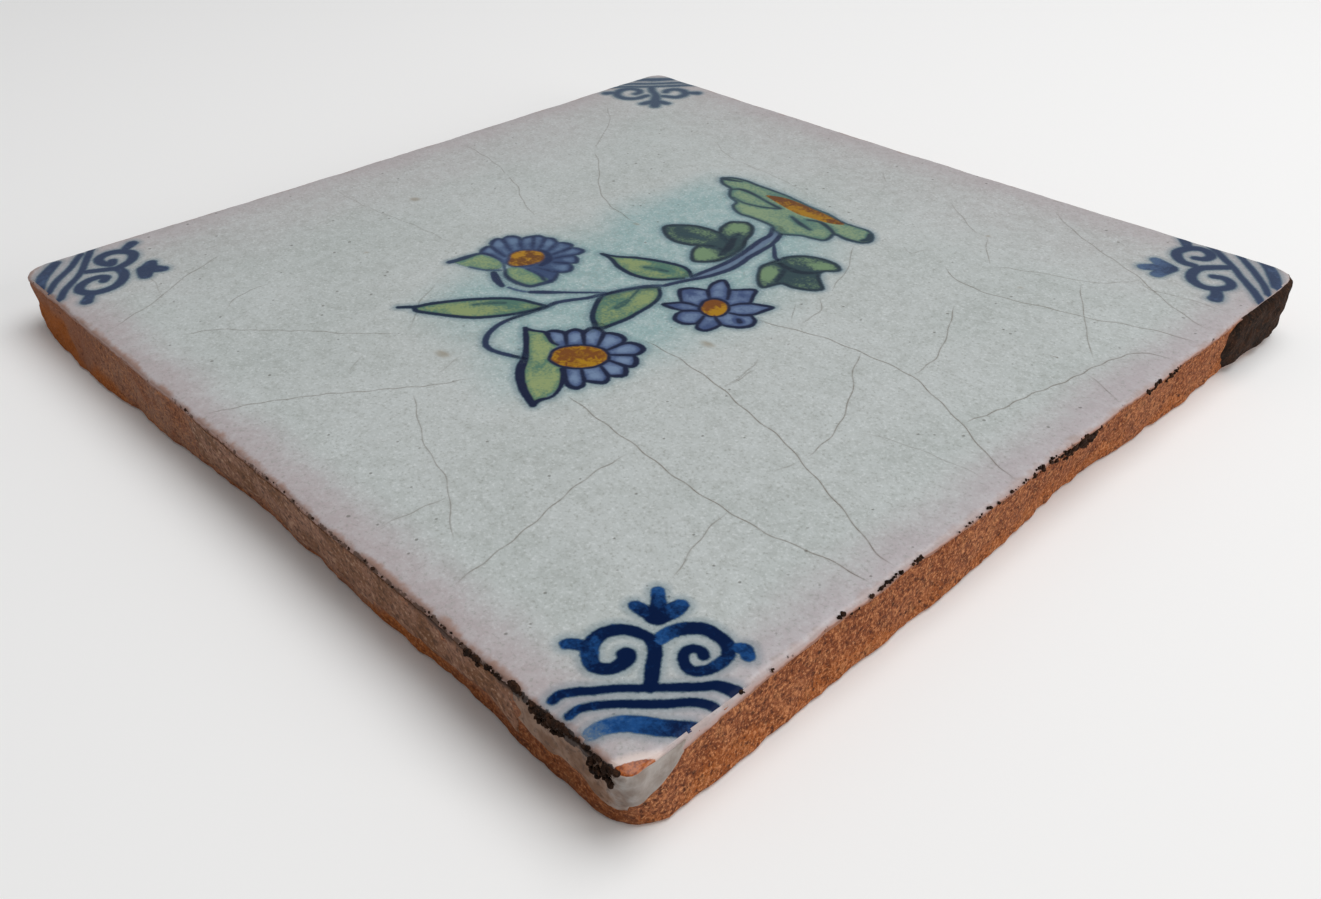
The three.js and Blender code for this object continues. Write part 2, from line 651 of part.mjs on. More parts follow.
// A long leaf: two edges drawn from its foot to its tip, a wash between them and a short vein
function paintLeaf(name, { upper, lower, tip, vein, veinWidths }) {
  const tipStroke = stroke(tip, [leafBrush, leafBrush * 1.4]);
  const edges = [
    stroke(upper, [leafBrush * 0.9, leafBrush, leafBrush]),
    stroke(lower, [leafBrush * 0.9, leafBrush, leafBrush]),
    tipStroke,
  ];
  const foot = [lower[0], upper[0]];
  const end = [upper[upper.length - 1], lower[lower.length - 1]];
  const body = area(jointedLoop([upper, end, [...lower].reverse(), foot]));
  const leafWash = wash([body], leafBrush / 2).add(wash([tipStroke]));
  addPiece(`${name}_wash`, toGeometry(leafWash.subtract(stemRoom)), leafGreen);
  addPiece(`${name}_line`, toGeometry(line(edges).subtract(stemRoom)), darkCobalt);
  addPiece(`${name}_vein`, toGeometry(line([stroke(vein, veinWidths)])), darkGreen);
}

paintLeaf('left_leaf', {
  upper: [[4.9, 3.7], [3.7, 4.4], [1.9, 4.5], [-1.2, 3.5], [-4.4, 1.9], [-6.9, 0.1], [-8.4, -0.6]],
  lower: [[4.9, 1.7], [3.4, -0.1], [1.6, -1.4], [-1.2, -2.1], [-4.4, -1.8], [-6.9, -1], [-8.4, -0.9]],
  tip: [[-7.6, -0.7], [-8.9, -0.8]],
  vein: [[-1.4, 0.7], [0.2, 1.2], [1.7, 1.9], [2.9, 2.4]],
  veinWidths: [0.6, 1.1, 0.8, 0.4],
});
paintLeaf('middle_leaf', {
  upper: [[4.9, -2.4], [6.1, -3.7], [7, -5.3], [7.7, -8.4], [7.9, -11.8], [7.7, -14.2], [7, -15.6]],
  lower: [[0.9, -9.3], [1.4, -10.6], [2.8, -12.6], [4.7, -14.5], [6.7, -15.8]],
  tip: [[7.4, -14.8], [7, -15.7]],
  vein: [[3.5, -6.3], [4.2, -7.8], [4.6, -9.2], [4.8, -10.4]],
  veinWidths: [0.5, 1.2, 0.9, 0.4],
});
paintLeaf('lower_leaf', {
  upper: [
    [-2.6, -17.2], [-4.1, -17.8], [-6, -18.6], [-8.2, -20.1], [-10.4, -22.6], [-12.5, -25.7],
    [-13.9, -28.2], [-14.9, -30.6],
  ],
  lower: [
    [-2.7, -19.4], [-3.6, -21.5], [-4.9, -23.7], [-6.7, -26.1], [-9.1, -28], [-11.6, -29.4],
    [-13.4, -30.3], [-14.9, -30.9],
  ],
  tip: [[-14.4, -30.4], [-15.9, -31.6]],
  vein: [[-9.6, -24], [-9, -22.8], [-8, -21.6], [-6.6, -20.5]],
  veinWidths: [0.7, 1.5, 1, 0.5],
});

// A flower's petals, each given by its angle and its reach. shoulder is the place of a petal's
// widest part and notch the depth of the cut between two petals, as shares of the reach; spread
// is how much of its room a petal fills at its shoulder. From there to the tip, the cheek is
// cheekPlace of the way up and cheekWidth as wide. Beside a gap wider than wideGap a petal takes
// the room of gapTurn and runs down to the flower's centre.
const cheekPlace = 0.65;
const cheekWidth = 0.6;
const wideGap = 60;
const gapTurn = 22;
const underHeart = 0.9; // the line between two petals starts at this share of the heart's reach

function polar([x, y], angle, along) {
  const facing = THREE.MathUtils.degToRad(angle);
  return [x + along * Math.cos(facing), y + along * Math.sin(facing)];
}

// One side of a petal: its points from the cut beside it up to its tip, and the line from that
// cut down to the centre's rim
function petalSide(centre, heartReach, form, [angle, reach], neighbour, sign) {
  const gap = (sign * (neighbour[0] - angle) + 360) % 360;
  const wide = gap > wideGap;
  const turn = sign * (wide ? gapTurn : gap / 2);
  const foot = polar(centre, angle + turn, heartReach);
  const cut = wide ? foot : polar(centre, angle + turn, (form.notch * (reach + neighbour[1])) / 2);
  const cheek = form.shoulder + (1 - form.shoulder) * cheekPlace;
  return {
    cut,
    shoulder: polar(centre, angle + turn * form.spread, reach * form.shoulder),
    cheek: polar(centre, angle + turn * form.spread * cheekWidth, reach * cheek),
    divider: wide ? [] : [[polar(centre, angle + turn, heartReach * underHeart), cut]],
    wide,
  };
}

function drawPetals(centre, heartReach, form, petals) {
  const edge = [];
  const dividers = [];
  petals.forEach((petal, i) => {
    const last = petals[(i + petals.length - 1) % petals.length];
    const next = petals[(i + 1) % petals.length];
    const before = petalSide(centre, heartReach, form, petal, last, -1);
    const after = petalSide(centre, heartReach, form, petal, next, 1);
    edge.push(before.cut, before.shoulder, before.cheek);
    edge.push(polar(centre, ...petal), after.cheek, after.shoulder);
    if (after.wide) {
      edge.push(after.cut);
    }
    dividers.push(...after.divider);
  });
  return { edge, dividers };
}

// A plain oval that a petal with its line lies inside
function petalRoom(centre, [angle, reach]) {
  const middle = polar(centre, angle, reach / 2);
  return oval(middle, reach / 2 + petalBrush / 2, reach * petalSlimness, angle);
}

function paintFlower(name, { centre, heart, petals, form, petalPaint, cup }) {
  const heartArea = area(oval(centre, ...heart));
  const heartLine = ring(oval(centre, ...heart), centreBrush);
  const { edge, dividers } = drawPetals(centre, Math.min(heart[0], heart[1]), form, petals);
  const cupEdges = cup.edges.map(([points, widths]) => stroke(points, widths));
  const petalWash = wash([area(edge)], petalBrush / 2).subtract(roomFor([heartArea]));
  const drawing = line([
    ring(edge, petalBrush), heartLine, ...dividers.map((ends) => stroke(ends, [petalBrush])), ...cupEdges,
  ]);
  const heartOpening = cutter([heartArea], -centreBrush / 2);
  addPiece(`${name}_petals`, toGeometry(petalWash), petalPaint);
  addPiece(`${name}_centre`, toGeometry(wash([heartArea])), ochre);
  addPiece(`${name}_line`, toGeometry(drawing.subtract(heartOpening).subtract(stemRoom)), darkCobalt);
  if (cup.bodies.length > 0) {
    const bodies = cup.bodies.map((body) => area(jointedLoop([[...body, body[0]]])));
    const petalRooms = petals.map((petal) => area(petalRoom(centre, petal)));
    const room = roomFor([...petalRooms, heartArea]).add(stemRoom);
    addPiece(`${name}_cup`, toGeometry(wash([...bodies, ...cupEdges]).subtract(room)), leafGreen);
  }
}

paintFlower('lower_daisy', {
  centre: [11.2, -22.8],
  heart: [3.5, 3.2, 60],
  petals: [
    [-45, 7.9], [-17, 7.1], [5, 7.3], [28, 7.3], [57, 7.9], [91, 6.9], [121, 6.8], [152, 6.6],
    [187, 7.5],
  ],
  form: { shoulder: 0.8, notch: 0.64, spread: 0.68 },
  petalPaint: paleCobalt,
  cup: {
    edges: [
      [[[0.4, -23], [1.6, -24.1], [3.4, -25.8], [5.3, -27.3], [7.1, -28.6]], [0.6, 0.8, 0.7]],
      [[[7, -28.5], [8.5, -30.1], [10.9, -31.9], [13.4, -33.3], [15.9, -34.3]], [0.8, 1, 0.6]],
      [[[0.4, -22.8], [1.6, -22.4], [3.2, -22.3], [5.3, -23.1], [7.8, -23.9]], [0.9, 0.6, 0.7]],
      [[[12.6, -26.1], [14.2, -28.3], [15.2, -30.6], [15.6, -32.6], [15.8, -34.2]], [0.6, 0.8, 0.6]],
    ],
    bodies: [[
      [0.4, -22.9], [3.2, -22.4], [7.8, -23.9], [11.4, -24.4], [12.6, -26.1], [14.2, -28.3],
      [15.2, -30.6], [15.8, -34.1], [10.9, -31.9], [7.1, -28.6], [3.4, -25.8],
    ]],
  },
});

paintFlower('left_daisy', {
  centre: [-15.7, -9.7],
  heart: [3.1, 2.7, 75],
  petals: [
    [-7, 7.6], [14, 7.7], [42, 7.5], [66, 8.1], [88, 7.3], [109, 7.6], [131, 7.2], [149, 7.2],
    [169, 7.9], [190, 7.5], [208, 7.1],
  ],
  form: { shoulder: 0.82, notch: 0.66, spread: 0.62 },
  petalPaint: cobalt,
  cup: {
    edges: [
      [[[-15.7, -13], [-15, -14.5], [-13.4, -15.4], [-11.9, -15.7], [-9.6, -15.4], [-8.1, -14],
        [-7.8, -12.2]], [0.5, 0.6, 0.7]],
      [[[-14.2, -12.3], [-11, -12.1], [-9.2, -11.9], [-7.8, -11.9]], [0.6, 0.8, 0.9]],
      [[[-11.3, -17.6], [-12.9, -17], [-14.4, -16.2], [-15.3, -15], [-15.7, -13.4]], [0.7, 0.7, 0.5]],
      [[[-16, -13.2], [-18.2, -13], [-20.8, -13.3], [-22, -14.6], [-22.3, -16.2], [-22.4, -17.8]],
        [0.5, 0.4, 0.7, 1]],
    ],
    bodies: [
      [[-15.4, -13], [-13.6, -12.3], [-10.8, -12.2], [-7.9, -12], [-8.1, -14], [-9.6, -15.4],
        [-11.9, -15.7], [-14.1, -15.1]],
      [[-15.9, -13.3], [-18.2, -13], [-20.8, -13.3], [-22, -14.6], [-22.3, -17.8], [-20.4, -17.3],
        [-18.4, -16.4], [-16.6, -15.1]],
    ],
  },
});

paintFlower('star_flower', {
  centre: [14.2, -1],
  heart: [2.3, 2.2, 0],
  petals: [
    [44, 7.7], [88, 7.1], [126, 8.1], [174, 6.9], [217, 6.9], [264, 6.6], [296, 6.4], [325, 5.6],
    [355, 6.8],
  ],
  form: { shoulder: 0.69, notch: 0.53, spread: 0.72 },
  petalPaint: paleCobalt,
  cup: { edges: [], bodies: [] },
});

// The large flower at the top, seen from its side, drawn lobe by lobe round a long centre
const topFlowerEdges = [
  [[-12.5, 31.2], [-14.6, 31.7], [-16.1, 32.9], [-15.1, 34], [-12.6, 34.6], [-7.5, 34.6],
    [-1.9, 34.3], [5, 33.7], [9.6, 32.8]],
  [[9.6, 32.8], [11.3, 33], [13.1, 33.1], [14.7, 32.4], [15.4, 31.1], [14.9, 29.8], [12.8, 29.2],
    [10.1, 29.3]],
  [[10.1, 29.3], [10.6, 27.8], [10.1, 26.2], [8.2, 25.6], [5.9, 24.6], [4.5, 23.8], [3.1, 24.1],
    [1.6, 24.9]],
  [[1.6, 24.9], [-0.4, 24.8], [-2.5, 25.1], [-4.6, 24.9], [-6.4, 25.6], [-7.4, 26.7], [-7.7, 27.8]],
  [[-7.7, 27.8], [-10.2, 28.7], [-11.5, 29.8], [-12.5, 31.2]],
];
const topFlowerFolds = [
  [[[-12.5, 31.2], [-10.9, 32], [-8.7, 31.7], [-6.4, 32]], [0.6, 0.5, 0.4]],
  [[[-7.7, 27.8], [-6.6, 28.3], [-4.8, 28.4], [-3.1, 29.1], [-1.4, 30.3]], [0.7, 1, 0.7, 0.5]],
  [[[1.9, 30], [3.4, 28.9], [5, 28.2], [7, 27.7], [8.4, 27.6]], [0.6, 0.9, 0.5]],
  [[[8.6, 31.3], [9, 30.1], [10.1, 29.3]], [0.5, 0.7]],
];
const topCentre = oval([1.5, 31.9], 7.6, 1.9, -3);
const topFlowerLines = [
  ring(jointedLoop(topFlowerEdges), leafBrush),
  ...topFlowerFolds.map(([points, widths]) => stroke(points, widths)),
  ring(topCentre, centreBrush),
];
const topFlowerWash = wash([area(jointedLoop(topFlowerEdges))], leafBrush / 2);
const topFlowerDrawing = line(topFlowerLines).subtract(cutter([area(topCentre)], -centreBrush / 2));
addPiece('top_flower_petals', toGeometry(topFlowerWash.subtract(roomFor([area(topCentre)]))), leafGreen);
addPiece('top_flower_centre', toGeometry(wash([area(topCentre)])), ochre);
addPiece('top_flower_line', toGeometry(topFlowerDrawing), darkCobalt);

// The two lobed leaves: a green wash, and over it a dark green that leaves three lights open
function paintLobedLeaf(name, points, lights) {
  const body = [area(smoothLoop(points))];
  const open = cutter(lights.map((light) => area(oval(...light))), 0);
  addPiece(`${name}_wash`, toGeometry(wash(body).subtract(stemRoom)), leafGreen);
  addPiece(`${name}_shade`, toGeometry(line(body).subtract(stemRoom).subtract(open)), darkGreen);
}

paintLobedLeaf('left_lobed_leaf', [
  [-3.1, 18.6], [-3.3, 21], [-1.5, 22.7], [1.4, 20.4], [2.4, 18.4],
  [4.4, 14.8], [4.5, 10.8], [3.8, 8.9], [2.2, 7.4], [0.7, 8.3],
  [-1.3, 11.2], [-2.6, 10.7], [-4.7, 10.1], [-7.3, 10.9], [-9.3, 12.9],
  [-7, 15.4], [-4.4, 16.6], [-3, 17.2],
], [
  [[-1.2, 20.3], 1.7, 0.9, 120],
  [[-5.1, 12.8], 1.9, 0.9, 155],
  [[1.4, 10.3], 1.8, 1, 105],
]);
paintLobedLeaf('right_lobed_leaf', [
  [10.3, 15.9], [11, 18], [12.5, 19.7], [16.8, 20.9], [18.3, 20.1], [17.2, 17.9], [17.6, 16.4],
  [19.3, 14.9], [20.8, 13.4], [19.8, 12.1], [17.8, 11.2], [15.9, 10.9], [15.3, 9.6], [14.5, 8.3],
  [13.1, 9.1], [11.4, 11.2], [10.3, 13.1],
], [
  [[15.2, 18.6], 2, 0.8, 5],
  [[12.9, 11.5], 2, 0.7, -52],
  [[18.1, 13.4], 1.3, 0.6, 10],
]);

export default tile;
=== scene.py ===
import math

import bmesh
import bpy
import numpy as np
from mathutils import Matrix, Vector, noise


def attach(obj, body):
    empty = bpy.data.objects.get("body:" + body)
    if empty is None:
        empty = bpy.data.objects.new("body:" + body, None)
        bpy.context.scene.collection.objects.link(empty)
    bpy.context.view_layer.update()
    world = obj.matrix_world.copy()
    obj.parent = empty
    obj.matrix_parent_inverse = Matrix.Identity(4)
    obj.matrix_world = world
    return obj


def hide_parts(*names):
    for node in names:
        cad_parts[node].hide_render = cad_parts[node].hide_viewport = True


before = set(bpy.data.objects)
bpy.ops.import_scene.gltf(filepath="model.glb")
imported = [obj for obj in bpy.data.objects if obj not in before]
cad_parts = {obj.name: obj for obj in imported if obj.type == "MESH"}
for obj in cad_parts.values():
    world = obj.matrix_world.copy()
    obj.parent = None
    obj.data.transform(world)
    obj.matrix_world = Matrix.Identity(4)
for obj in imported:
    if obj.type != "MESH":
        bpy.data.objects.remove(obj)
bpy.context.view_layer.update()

mm = 0.001

# The view: the tile lies on its back and is seen across its bottom right corner, from about
# 35 degrees above and close by, so that its far edges look clearly shorter than the near ones.
view_turn = math.radians(47.252)
view_height = math.radians(34.558)
view_roll = math.radians(-0.858)
view_distance = 136.545 * mm
look_at = Vector((31.012, -32.423, 8.5)) * mm
away = Vector((
    math.sin(view_turn) * math.cos(view_height),
    -math.cos(view_turn) * math.cos(view_height),
    math.sin(view_height),
))
level_side = (-away).cross(Vector((0, 0, 1))).normalized()
level_up = level_side.cross(-away)
side_axis = level_side * math.cos(view_roll) + level_up * math.sin(view_roll)
up_axis = level_up * math.cos(view_roll) - level_side * math.sin(view_roll)
lens = bpy.data.cameras.new("camera")
lens.lens = 32.971
lens.sensor_width = 36
lens.shift_x = 0.0218
lens.clip_start = 0.005
camera = bpy.data.objects.new("camera", lens)
camera.matrix_world = Matrix.Translation(look_at + away * view_distance) @ Matrix(
    (side_axis, up_axis, away)
).transposed().to_4x4()
bpy.context.scene.collection.objects.link(camera)
bpy.context.scene.camera = camera
bpy.context.scene.view_settings.view_transform = "Standard"


# The table: a plain pale sheet under the tile, with the soft light of a photographer's box
# overhead and one more at the right, so that the tile's right side is the brighter one.
def soft_box(name, place, aim, width, power, warmth=(1, 1, 1)):
    light = bpy.data.lights.new(name, "AREA")
    light.shape = "SQUARE"
    light.size = width
    light.energy = power
    light.color = warmth
    box = bpy.data.objects.new(name, light)
    place = Vector(place)
    box.matrix_world = Matrix.Translation(place) @ (
        (Vector(aim) - place).to_track_quat("-Z", "Y").to_matrix().to_4x4()
    )
    bpy.context.scene.collection.objects.link(box)


soft_box("overhead", (0.12, 0.25, 0.75), (0, 0, 0), 0.7, 4.4)
soft_box("right_side", (0.75, 0.16, 0.25), (0.05, 0, 0), 0.4, 2.1, (1, 0.97, 0.93))
sky = bpy.data.worlds.new("studio")
sky.use_nodes = True
sky_light = sky.node_tree.nodes["Background"].inputs
sky_light["Color"].default_value = (1, 1, 1, 1)
sky_light["Strength"].default_value = 0.3
bpy.context.scene.world = sky

table_size = 1.5
table = bmesh.new()
bmesh.ops.create_grid(table, x_segments=1, y_segments=1, size=table_size)
table_mesh = bpy.data.meshes.new("table")
table.to_mesh(table_mesh)
table.free()
table_paper = bpy.data.materials.new("table_paper")
table_paper.use_nodes = True
paper_look = table_paper.node_tree.nodes["Principled BSDF"].inputs
paper_look["Base Color"].default_value = (0.93, 0.93, 0.93, 1)
paper_look["Roughness"].default_value = 0.9
table_mesh.materials.append(table_paper)
table_top = bpy.data.objects.new("table", table_mesh)
bpy.context.scene.collection.objects.link(table_top)


# The clay slab: coarse sandy earthenware, rolled out, cut square and fired to a dull orange
# brown. Its cut sides lean in toward a worn foot, and the bedding mortar has stained them.
tile_side = 130
half_side = tile_side / 2
slab_height = 8
worn_foot = 0.5  # the lower edge is rubbed away this far in and this far up
rubbed_corner = 3.4  # the radius to which the right and left corners are rubbed
left_corner_turn = -0.75 * math.pi


def read_spots(points):
    return np.array([point.co[:] for point in points])


def put_spots(points, spots):
    for point, spot in zip(points, spots):
        point.co = spot


def turn_of(spots):
    """The direction of each place, as an angle round the tile's middle."""
    return np.arctan2(spots[:, 1], spots[:, 0])


def ray_at(turn):
    return np.stack([np.cos(turn), np.sin(turn)], -1)


def lumpy(spots, pitch, shift=(0, 0, 0)):
    """Smooth ups and downs, from about -1 to 1, at each place. A higher pitch has finer lumps."""
    return np.array([noise.noise(Vector(spot) * pitch + Vector(shift)) for spot in spots])


def ring_of(height):
    """The slab's outline at one height, as its corners in order round the middle."""
    spots = read_spots(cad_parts["biscuit_body"].data.vertices) / mm
    spots = spots[abs(spots[:, 2] - height) < 0.02][:, :2]
    spots = spots[np.hypot(*spots.T) > tile_side * 0.4]
    spots = spots[np.argsort(turn_of(spots))]
    apart = np.hypot(*(spots - np.roll(spots, 1, 0)).T) > 0.01
    return spots[apart]


def reach_of(ring, turn):
    """How far the outline lies from the middle in the direction of each angle."""
    turn = (np.asarray(turn, float) + math.pi) % (2 * math.pi) - math.pi
    last = np.searchsorted(turn_of(ring), turn) % len(ring)
    first = (last - 1) % len(ring)
    start, along = ring[first], ring[last] - ring[first]
    ray = ray_at(turn)
    across = ray[..., 0] * along[..., 1] - ray[..., 1] * along[..., 0]
    share = -(ray[..., 0] * start[..., 1] - ray[..., 1] * start[..., 0]) / across
    spot = start + along * share[..., None]
    return (spot * ray).sum(-1)


def wavy(ring, depth, width, seed):
    """The same edge with more points, worn inward here and there, and with two corners rubbed."""
    turns = np.linspace(-math.pi, math.pi, 900, endpoint=False)
    turns = np.sort(np.concatenate([turns, turn_of(ring)]))
    spots = reach_of(ring, turns)[:, None] * ray_at(turns)
    seeds = np.full(len(spots), seed)
    sway = lumpy(np.column_stack([spots / width, seeds]), 1)
    sway = sway + 0.4 * lumpy(np.column_stack([spots, seeds]), 1)
    spots = spots * (1 - depth * np.clip(0.5 + sway, 0, 1.2) / tile_side * 2)[:, None]
    straight = half_side - rubbed_corner
    for side in (1, -1):
        past = spots * side - straight
        gap = np.hypot(*past.T)
        over = (past.min(1) > 0) & (gap > rubbed_corner)
        spots[over] = side * (straight + past[over] * rubbed_corner / gap[over][:, None])
    return spots


face_ring = wavy(ring_of(slab_height), 0.28, 7.0, 4.0)
foot_ring = wavy(ring_of(worn_foot), 0.25, 4.0, 9.0)


def on_wall(turn, height, out=0.0):
    """A place on the slab's sides: direction from the middle, height, and distance off the clay."""
    turn = np.asarray(turn, float)
    height = np.broadcast_to(np.asarray(height, float), turn.shape)
    share = np.clip((height - worn_foot) / (slab_height - worn_foot), 0, 1)
    by_left_corner = np.clip(np.cos(turn - left_corner_turn), 0, 1) ** 60
    share = share ** (1 - 0.85 * by_left_corner)

    def spot(at):
        reach = reach_of(foot_ring, at) * (1 - share) + reach_of(face_ring, at) * share
        worn = worn_foot * np.clip(1 - height / worn_foot, 0, 1) ** 2
        return ray_at(at) * (reach - worn)[..., None]

    here = spot(turn)
    along = spot(turn + 0.004) - spot(turn - 0.004)
    facing = np.stack([along[..., 1], -along[..., 0]], -1)
    facing /= np.hypot(facing[..., 0], facing[..., 1])[..., None]
    here = here + facing * np.broadcast_to(np.asarray(out, float), turn.shape)[..., None]
    return np.concatenate([here, height[..., None]], -1)


def turn_at(run):
    """The direction of a place that lies so many mm round the edge from the bottom right corner."""
    run = np.asarray(run, float) % (4 * tile_side)
    side = np.floor(run / tile_side)
    return np.arctan2(run - side * tile_side - half_side, half_side) + side * math.pi / 2


def round_grid(cells):
    """A square sheet, with how far out each of its points lies, from 0 to 1, and its direction."""
    sheet = bmesh.new()
    bmesh.ops.create_grid(sheet, x_segments=cells, y_segments=cells, size=1)
    flat = read_spots(sheet.verts)[:, :2]
    return sheet, abs(flat).max(1), turn_of(flat)


def grow_rim(shape):
    """Adds one row of faces all round the open edge, and gives the row's new points."""
    rim = [edge for edge in shape.edges if edge.is_boundary]
    made = bmesh.ops.extrude_edge_only(shape, edges=rim)["geom"]
    return [item for item in made if isinstance(item, bmesh.types.BMVert)]


def close_up(shape):
    """Fills the open edge with one last face, and turns all faces outward."""
    rim = [edge for edge in shape.edges if edge.is_boundary]
    bmesh.ops.holes_fill(shape, edges=rim, sides=0)
    bmesh.ops.recalc_face_normals(shape, faces=shape.faces)


def set_down(shape, name, finish, slot, *stands_for):
    """Makes a finished mesh a piece of the tile, smooth shaded and fixed to the tile's body."""
    mesh = bpy.data.meshes.new(name)
    shape.to_mesh(mesh)
    shape.free()
    mesh.shade_smooth()
    mesh.materials.append(finish.material)
    piece = bpy.data.objects.new(name, mesh)
    bpy.context.scene.collection.objects.link(piece)
    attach(piece, "root")
    if stands_for:
        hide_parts(*stands_for)
    return piece


class Amount:
    """A socket that carries a number or a colour, so that shader maths reads as an expression."""

    def __init__(self, finish, socket):
        self.finish = finish
        self.socket = socket

    def __add__(self, other):
        return self.finish.join("ADD", self, other)

    def __radd__(self, other):
        return self.finish.join("ADD", other, self)

    def __sub__(self, other):
        return self.finish.join("SUBTRACT", self, other)

    def __rsub__(self, other):
        return self.finish.join("SUBTRACT", other, self)

    def __mul__(self, other):
        return self.finish.join("MULTIPLY", self, other)

    def __rmul__(self, other):
        return self.finish.join("MULTIPLY", other, self)

    def fade(self, low, high):
        """Rises softly from 0 to 1 as the amount goes from low to high."""
        return self.finish.node("ShaderNodeMapRange", {"interpolation_type": "SMOOTHSTEP"},
                                {0: self, 1: low, 2: high, 3: 0.0, 4: 1.0})


def seen(red, green, blue):
    """A colour as the eye meets it on the tile, given as three numbers up to 255."""
    def plain(value):
        value /= 255
        return value / 12.92 if value <= 0.04045 else ((value + 0.055) / 1.055) ** 2.4
    return tuple(min(plain(value) / 0.85, 1) for value in (red, green, blue)) + (1,)


class Finish:
    """One material. Its nodes are added one by one, and its colours are laid over each other.

    A colour is an Amount, or three numbers up to 255.
    """

    def __init__(self, name, **plain):
        self.material = bpy.data.materials.new(name)
        self.material.use_nodes = True
        self.tree = self.material.node_tree
        self.shader = self.tree.nodes["Principled BSDF"]
        self.wear(**plain)
        self.place = self.node("ShaderNodeTexCoord", {}, {}, "Object")

    def node(self, kind, settings, inputs, output=0):
        made = self.tree.nodes.new(kind)
        for setting, value in settings.items():
            setattr(made, setting, value)
        for socket, value in inputs.items():
            self.feed(made.inputs[socket], value)
        return Amount(self, made.outputs[output])

    def feed(self, socket, value):
        if isinstance(value, Amount):
            self.tree.links.new(value.socket, socket)
        else:
            socket.default_value = value

    def wear(self, **sockets):
        for socket, value in sockets.items():
            self.feed(self.shader.inputs[socket.replace("_", " ")], value)

    def join(self, operation, first, second):
        return self.node("ShaderNodeMath", {"operation": operation}, {0: first, 1: second})

    def grain(self, size, detail, rough=0.5, warp=0.0):
        """Cloudy variation, 0 to 1, with lumps of about the given size in mm."""
        return self.node("ShaderNodeTexNoise", {}, {
            "Vector": self.place, "Scale": 1000 / size, "Detail": detail,
            "Roughness": rough, "Distortion": warp,
        })

    def scattered(self, per_metre):
        """Small at each of many scattered points, and larger with the distance from them."""
        return self.node("ShaderNodeTexVoronoi", {}, {"Vector": self.place, "Scale": per_metre})

    def read(self, name):
        return self.node("ShaderNodeAttribute", {"attribute_name": name}, {}, "Fac")

    def axes(self):
        """The place in mm: to the picture's right, to its top, and out of its face."""
        split = self.node("ShaderNodeSeparateXYZ", {}, {0: self.place})
        return [Amount(self, output) * 1000.0 for output in split.socket.node.outputs]

    def blend(self, share, under, over):
        under, over = (seen(*colour) if isinstance(colour, tuple) else colour
                       for colour in (under, over))
        return self.node("ShaderNodeMix", {"data_type": "RGBA"}, {0: share, 6: under, 7: over}, 2)

    def tint(self, share, over):
        """Lays one more colour over the finish, as thick as share says."""
        self.colour = self.blend(share, self.colour, over)

    def bump(self, height, depth, strength, under=None):
        inputs = {"Height": height, "Distance": depth * mm, "Strength": strength}
        if under is not None:
            inputs["Normal"] = under
        return self.node("ShaderNodeBump", {}, inputs)


clay_finish = Finish("fired_sandy_clay", Specular_IOR_Level=0.2)
across, upward, tall = clay_finish.axes()
cloud = clay_finish.grain(9, 3)
sand = clay_finish.grain(0.55, 4, 0.65)
streak = clay_finish.grain(2.4, 3, 0.6, 0.4)
dust = clay_finish.grain(0.3, 2, 0.6)
grits = clay_finish.scattered(700.0)
clay_finish.colour = clay_finish.blend(cloud.fade(0.3, 0.72), (126, 68, 38), (140, 84, 55))

# The front side: a grey film over most of it, and bare burnt clay along its foot.
front_side = upward.fade(-62.5, -64.2)
film = clay_finish.grain(4, 4, 0.6).fade(0.3, 0.6) * across.fade(-50, -30)
clay_finish.tint(front_side * (0.3 + film * 0.5), (146, 112, 94))
burnt = (tall + (cloud - 0.5) * 9.0).fade(3.2, 0.8)
clay_finish.tint(burnt * (1.0 - front_side) * 0.6, (160, 88, 36))
foot_reach = (across.fade(-43, -53) * 5.0 + across.fade(46, 50) * 3.6 + 0.4
              + across.fade(-45, -40) * across.fade(-31, -36) * 2.4
              + across.fade(22, 30) * across.fade(49, 46) * 2.6)
burnt_front = (foot_reach - tall + (cloud - 0.5) * 2.0).fade(-1.2, 1.2) * front_side
burnt_tint = clay_finish.blend(across.fade(30, 48), (154, 82, 16), (116, 56, 10))
clay_finish.tint(burnt_front * 0.9, burnt_tint)

# The bare grain: light and dark streaks, sand, dust and grits, weaker where the front is rubbed.
grain_shows = 1.0 - front_side * (across.fade(-34, -46) * 0.35 + 0.4)
for speckles, strength, colour in [
    (streak.fade(0.5, 0.75), 0.6, (166, 112, 72)),
    (streak.fade(0.48, 0.28), 0.65, (94, 50, 30)),
    (sand.fade(0.52, 0.64), 0.8, (186, 122, 80)),
    (sand.fade(0.48, 0.36), 0.85, (76, 38, 24)),
    (dust.fade(0.54, 0.68), 0.6, (208, 146, 100)),
    (dust.fade(0.46, 0.32), 0.5, (60, 30, 20)),
    (grits.fade(0.2, 0.08), 0.55, (46, 30, 24)),
]:
    clay_finish.tint(speckles * grain_shows * strength, colour)
clay_relief = sand * 0.8 + streak * 0.5 - grits.fade(0.2, 0.05) * 0.4 + dust * 0.3
clay_finish.wear(Base_Color=clay_finish.colour, Roughness=0.86 + sand.fade(0.3, 0.7) * 0.1,
                 Normal=clay_finish.bump(clay_relief, 0.6, 1.0))

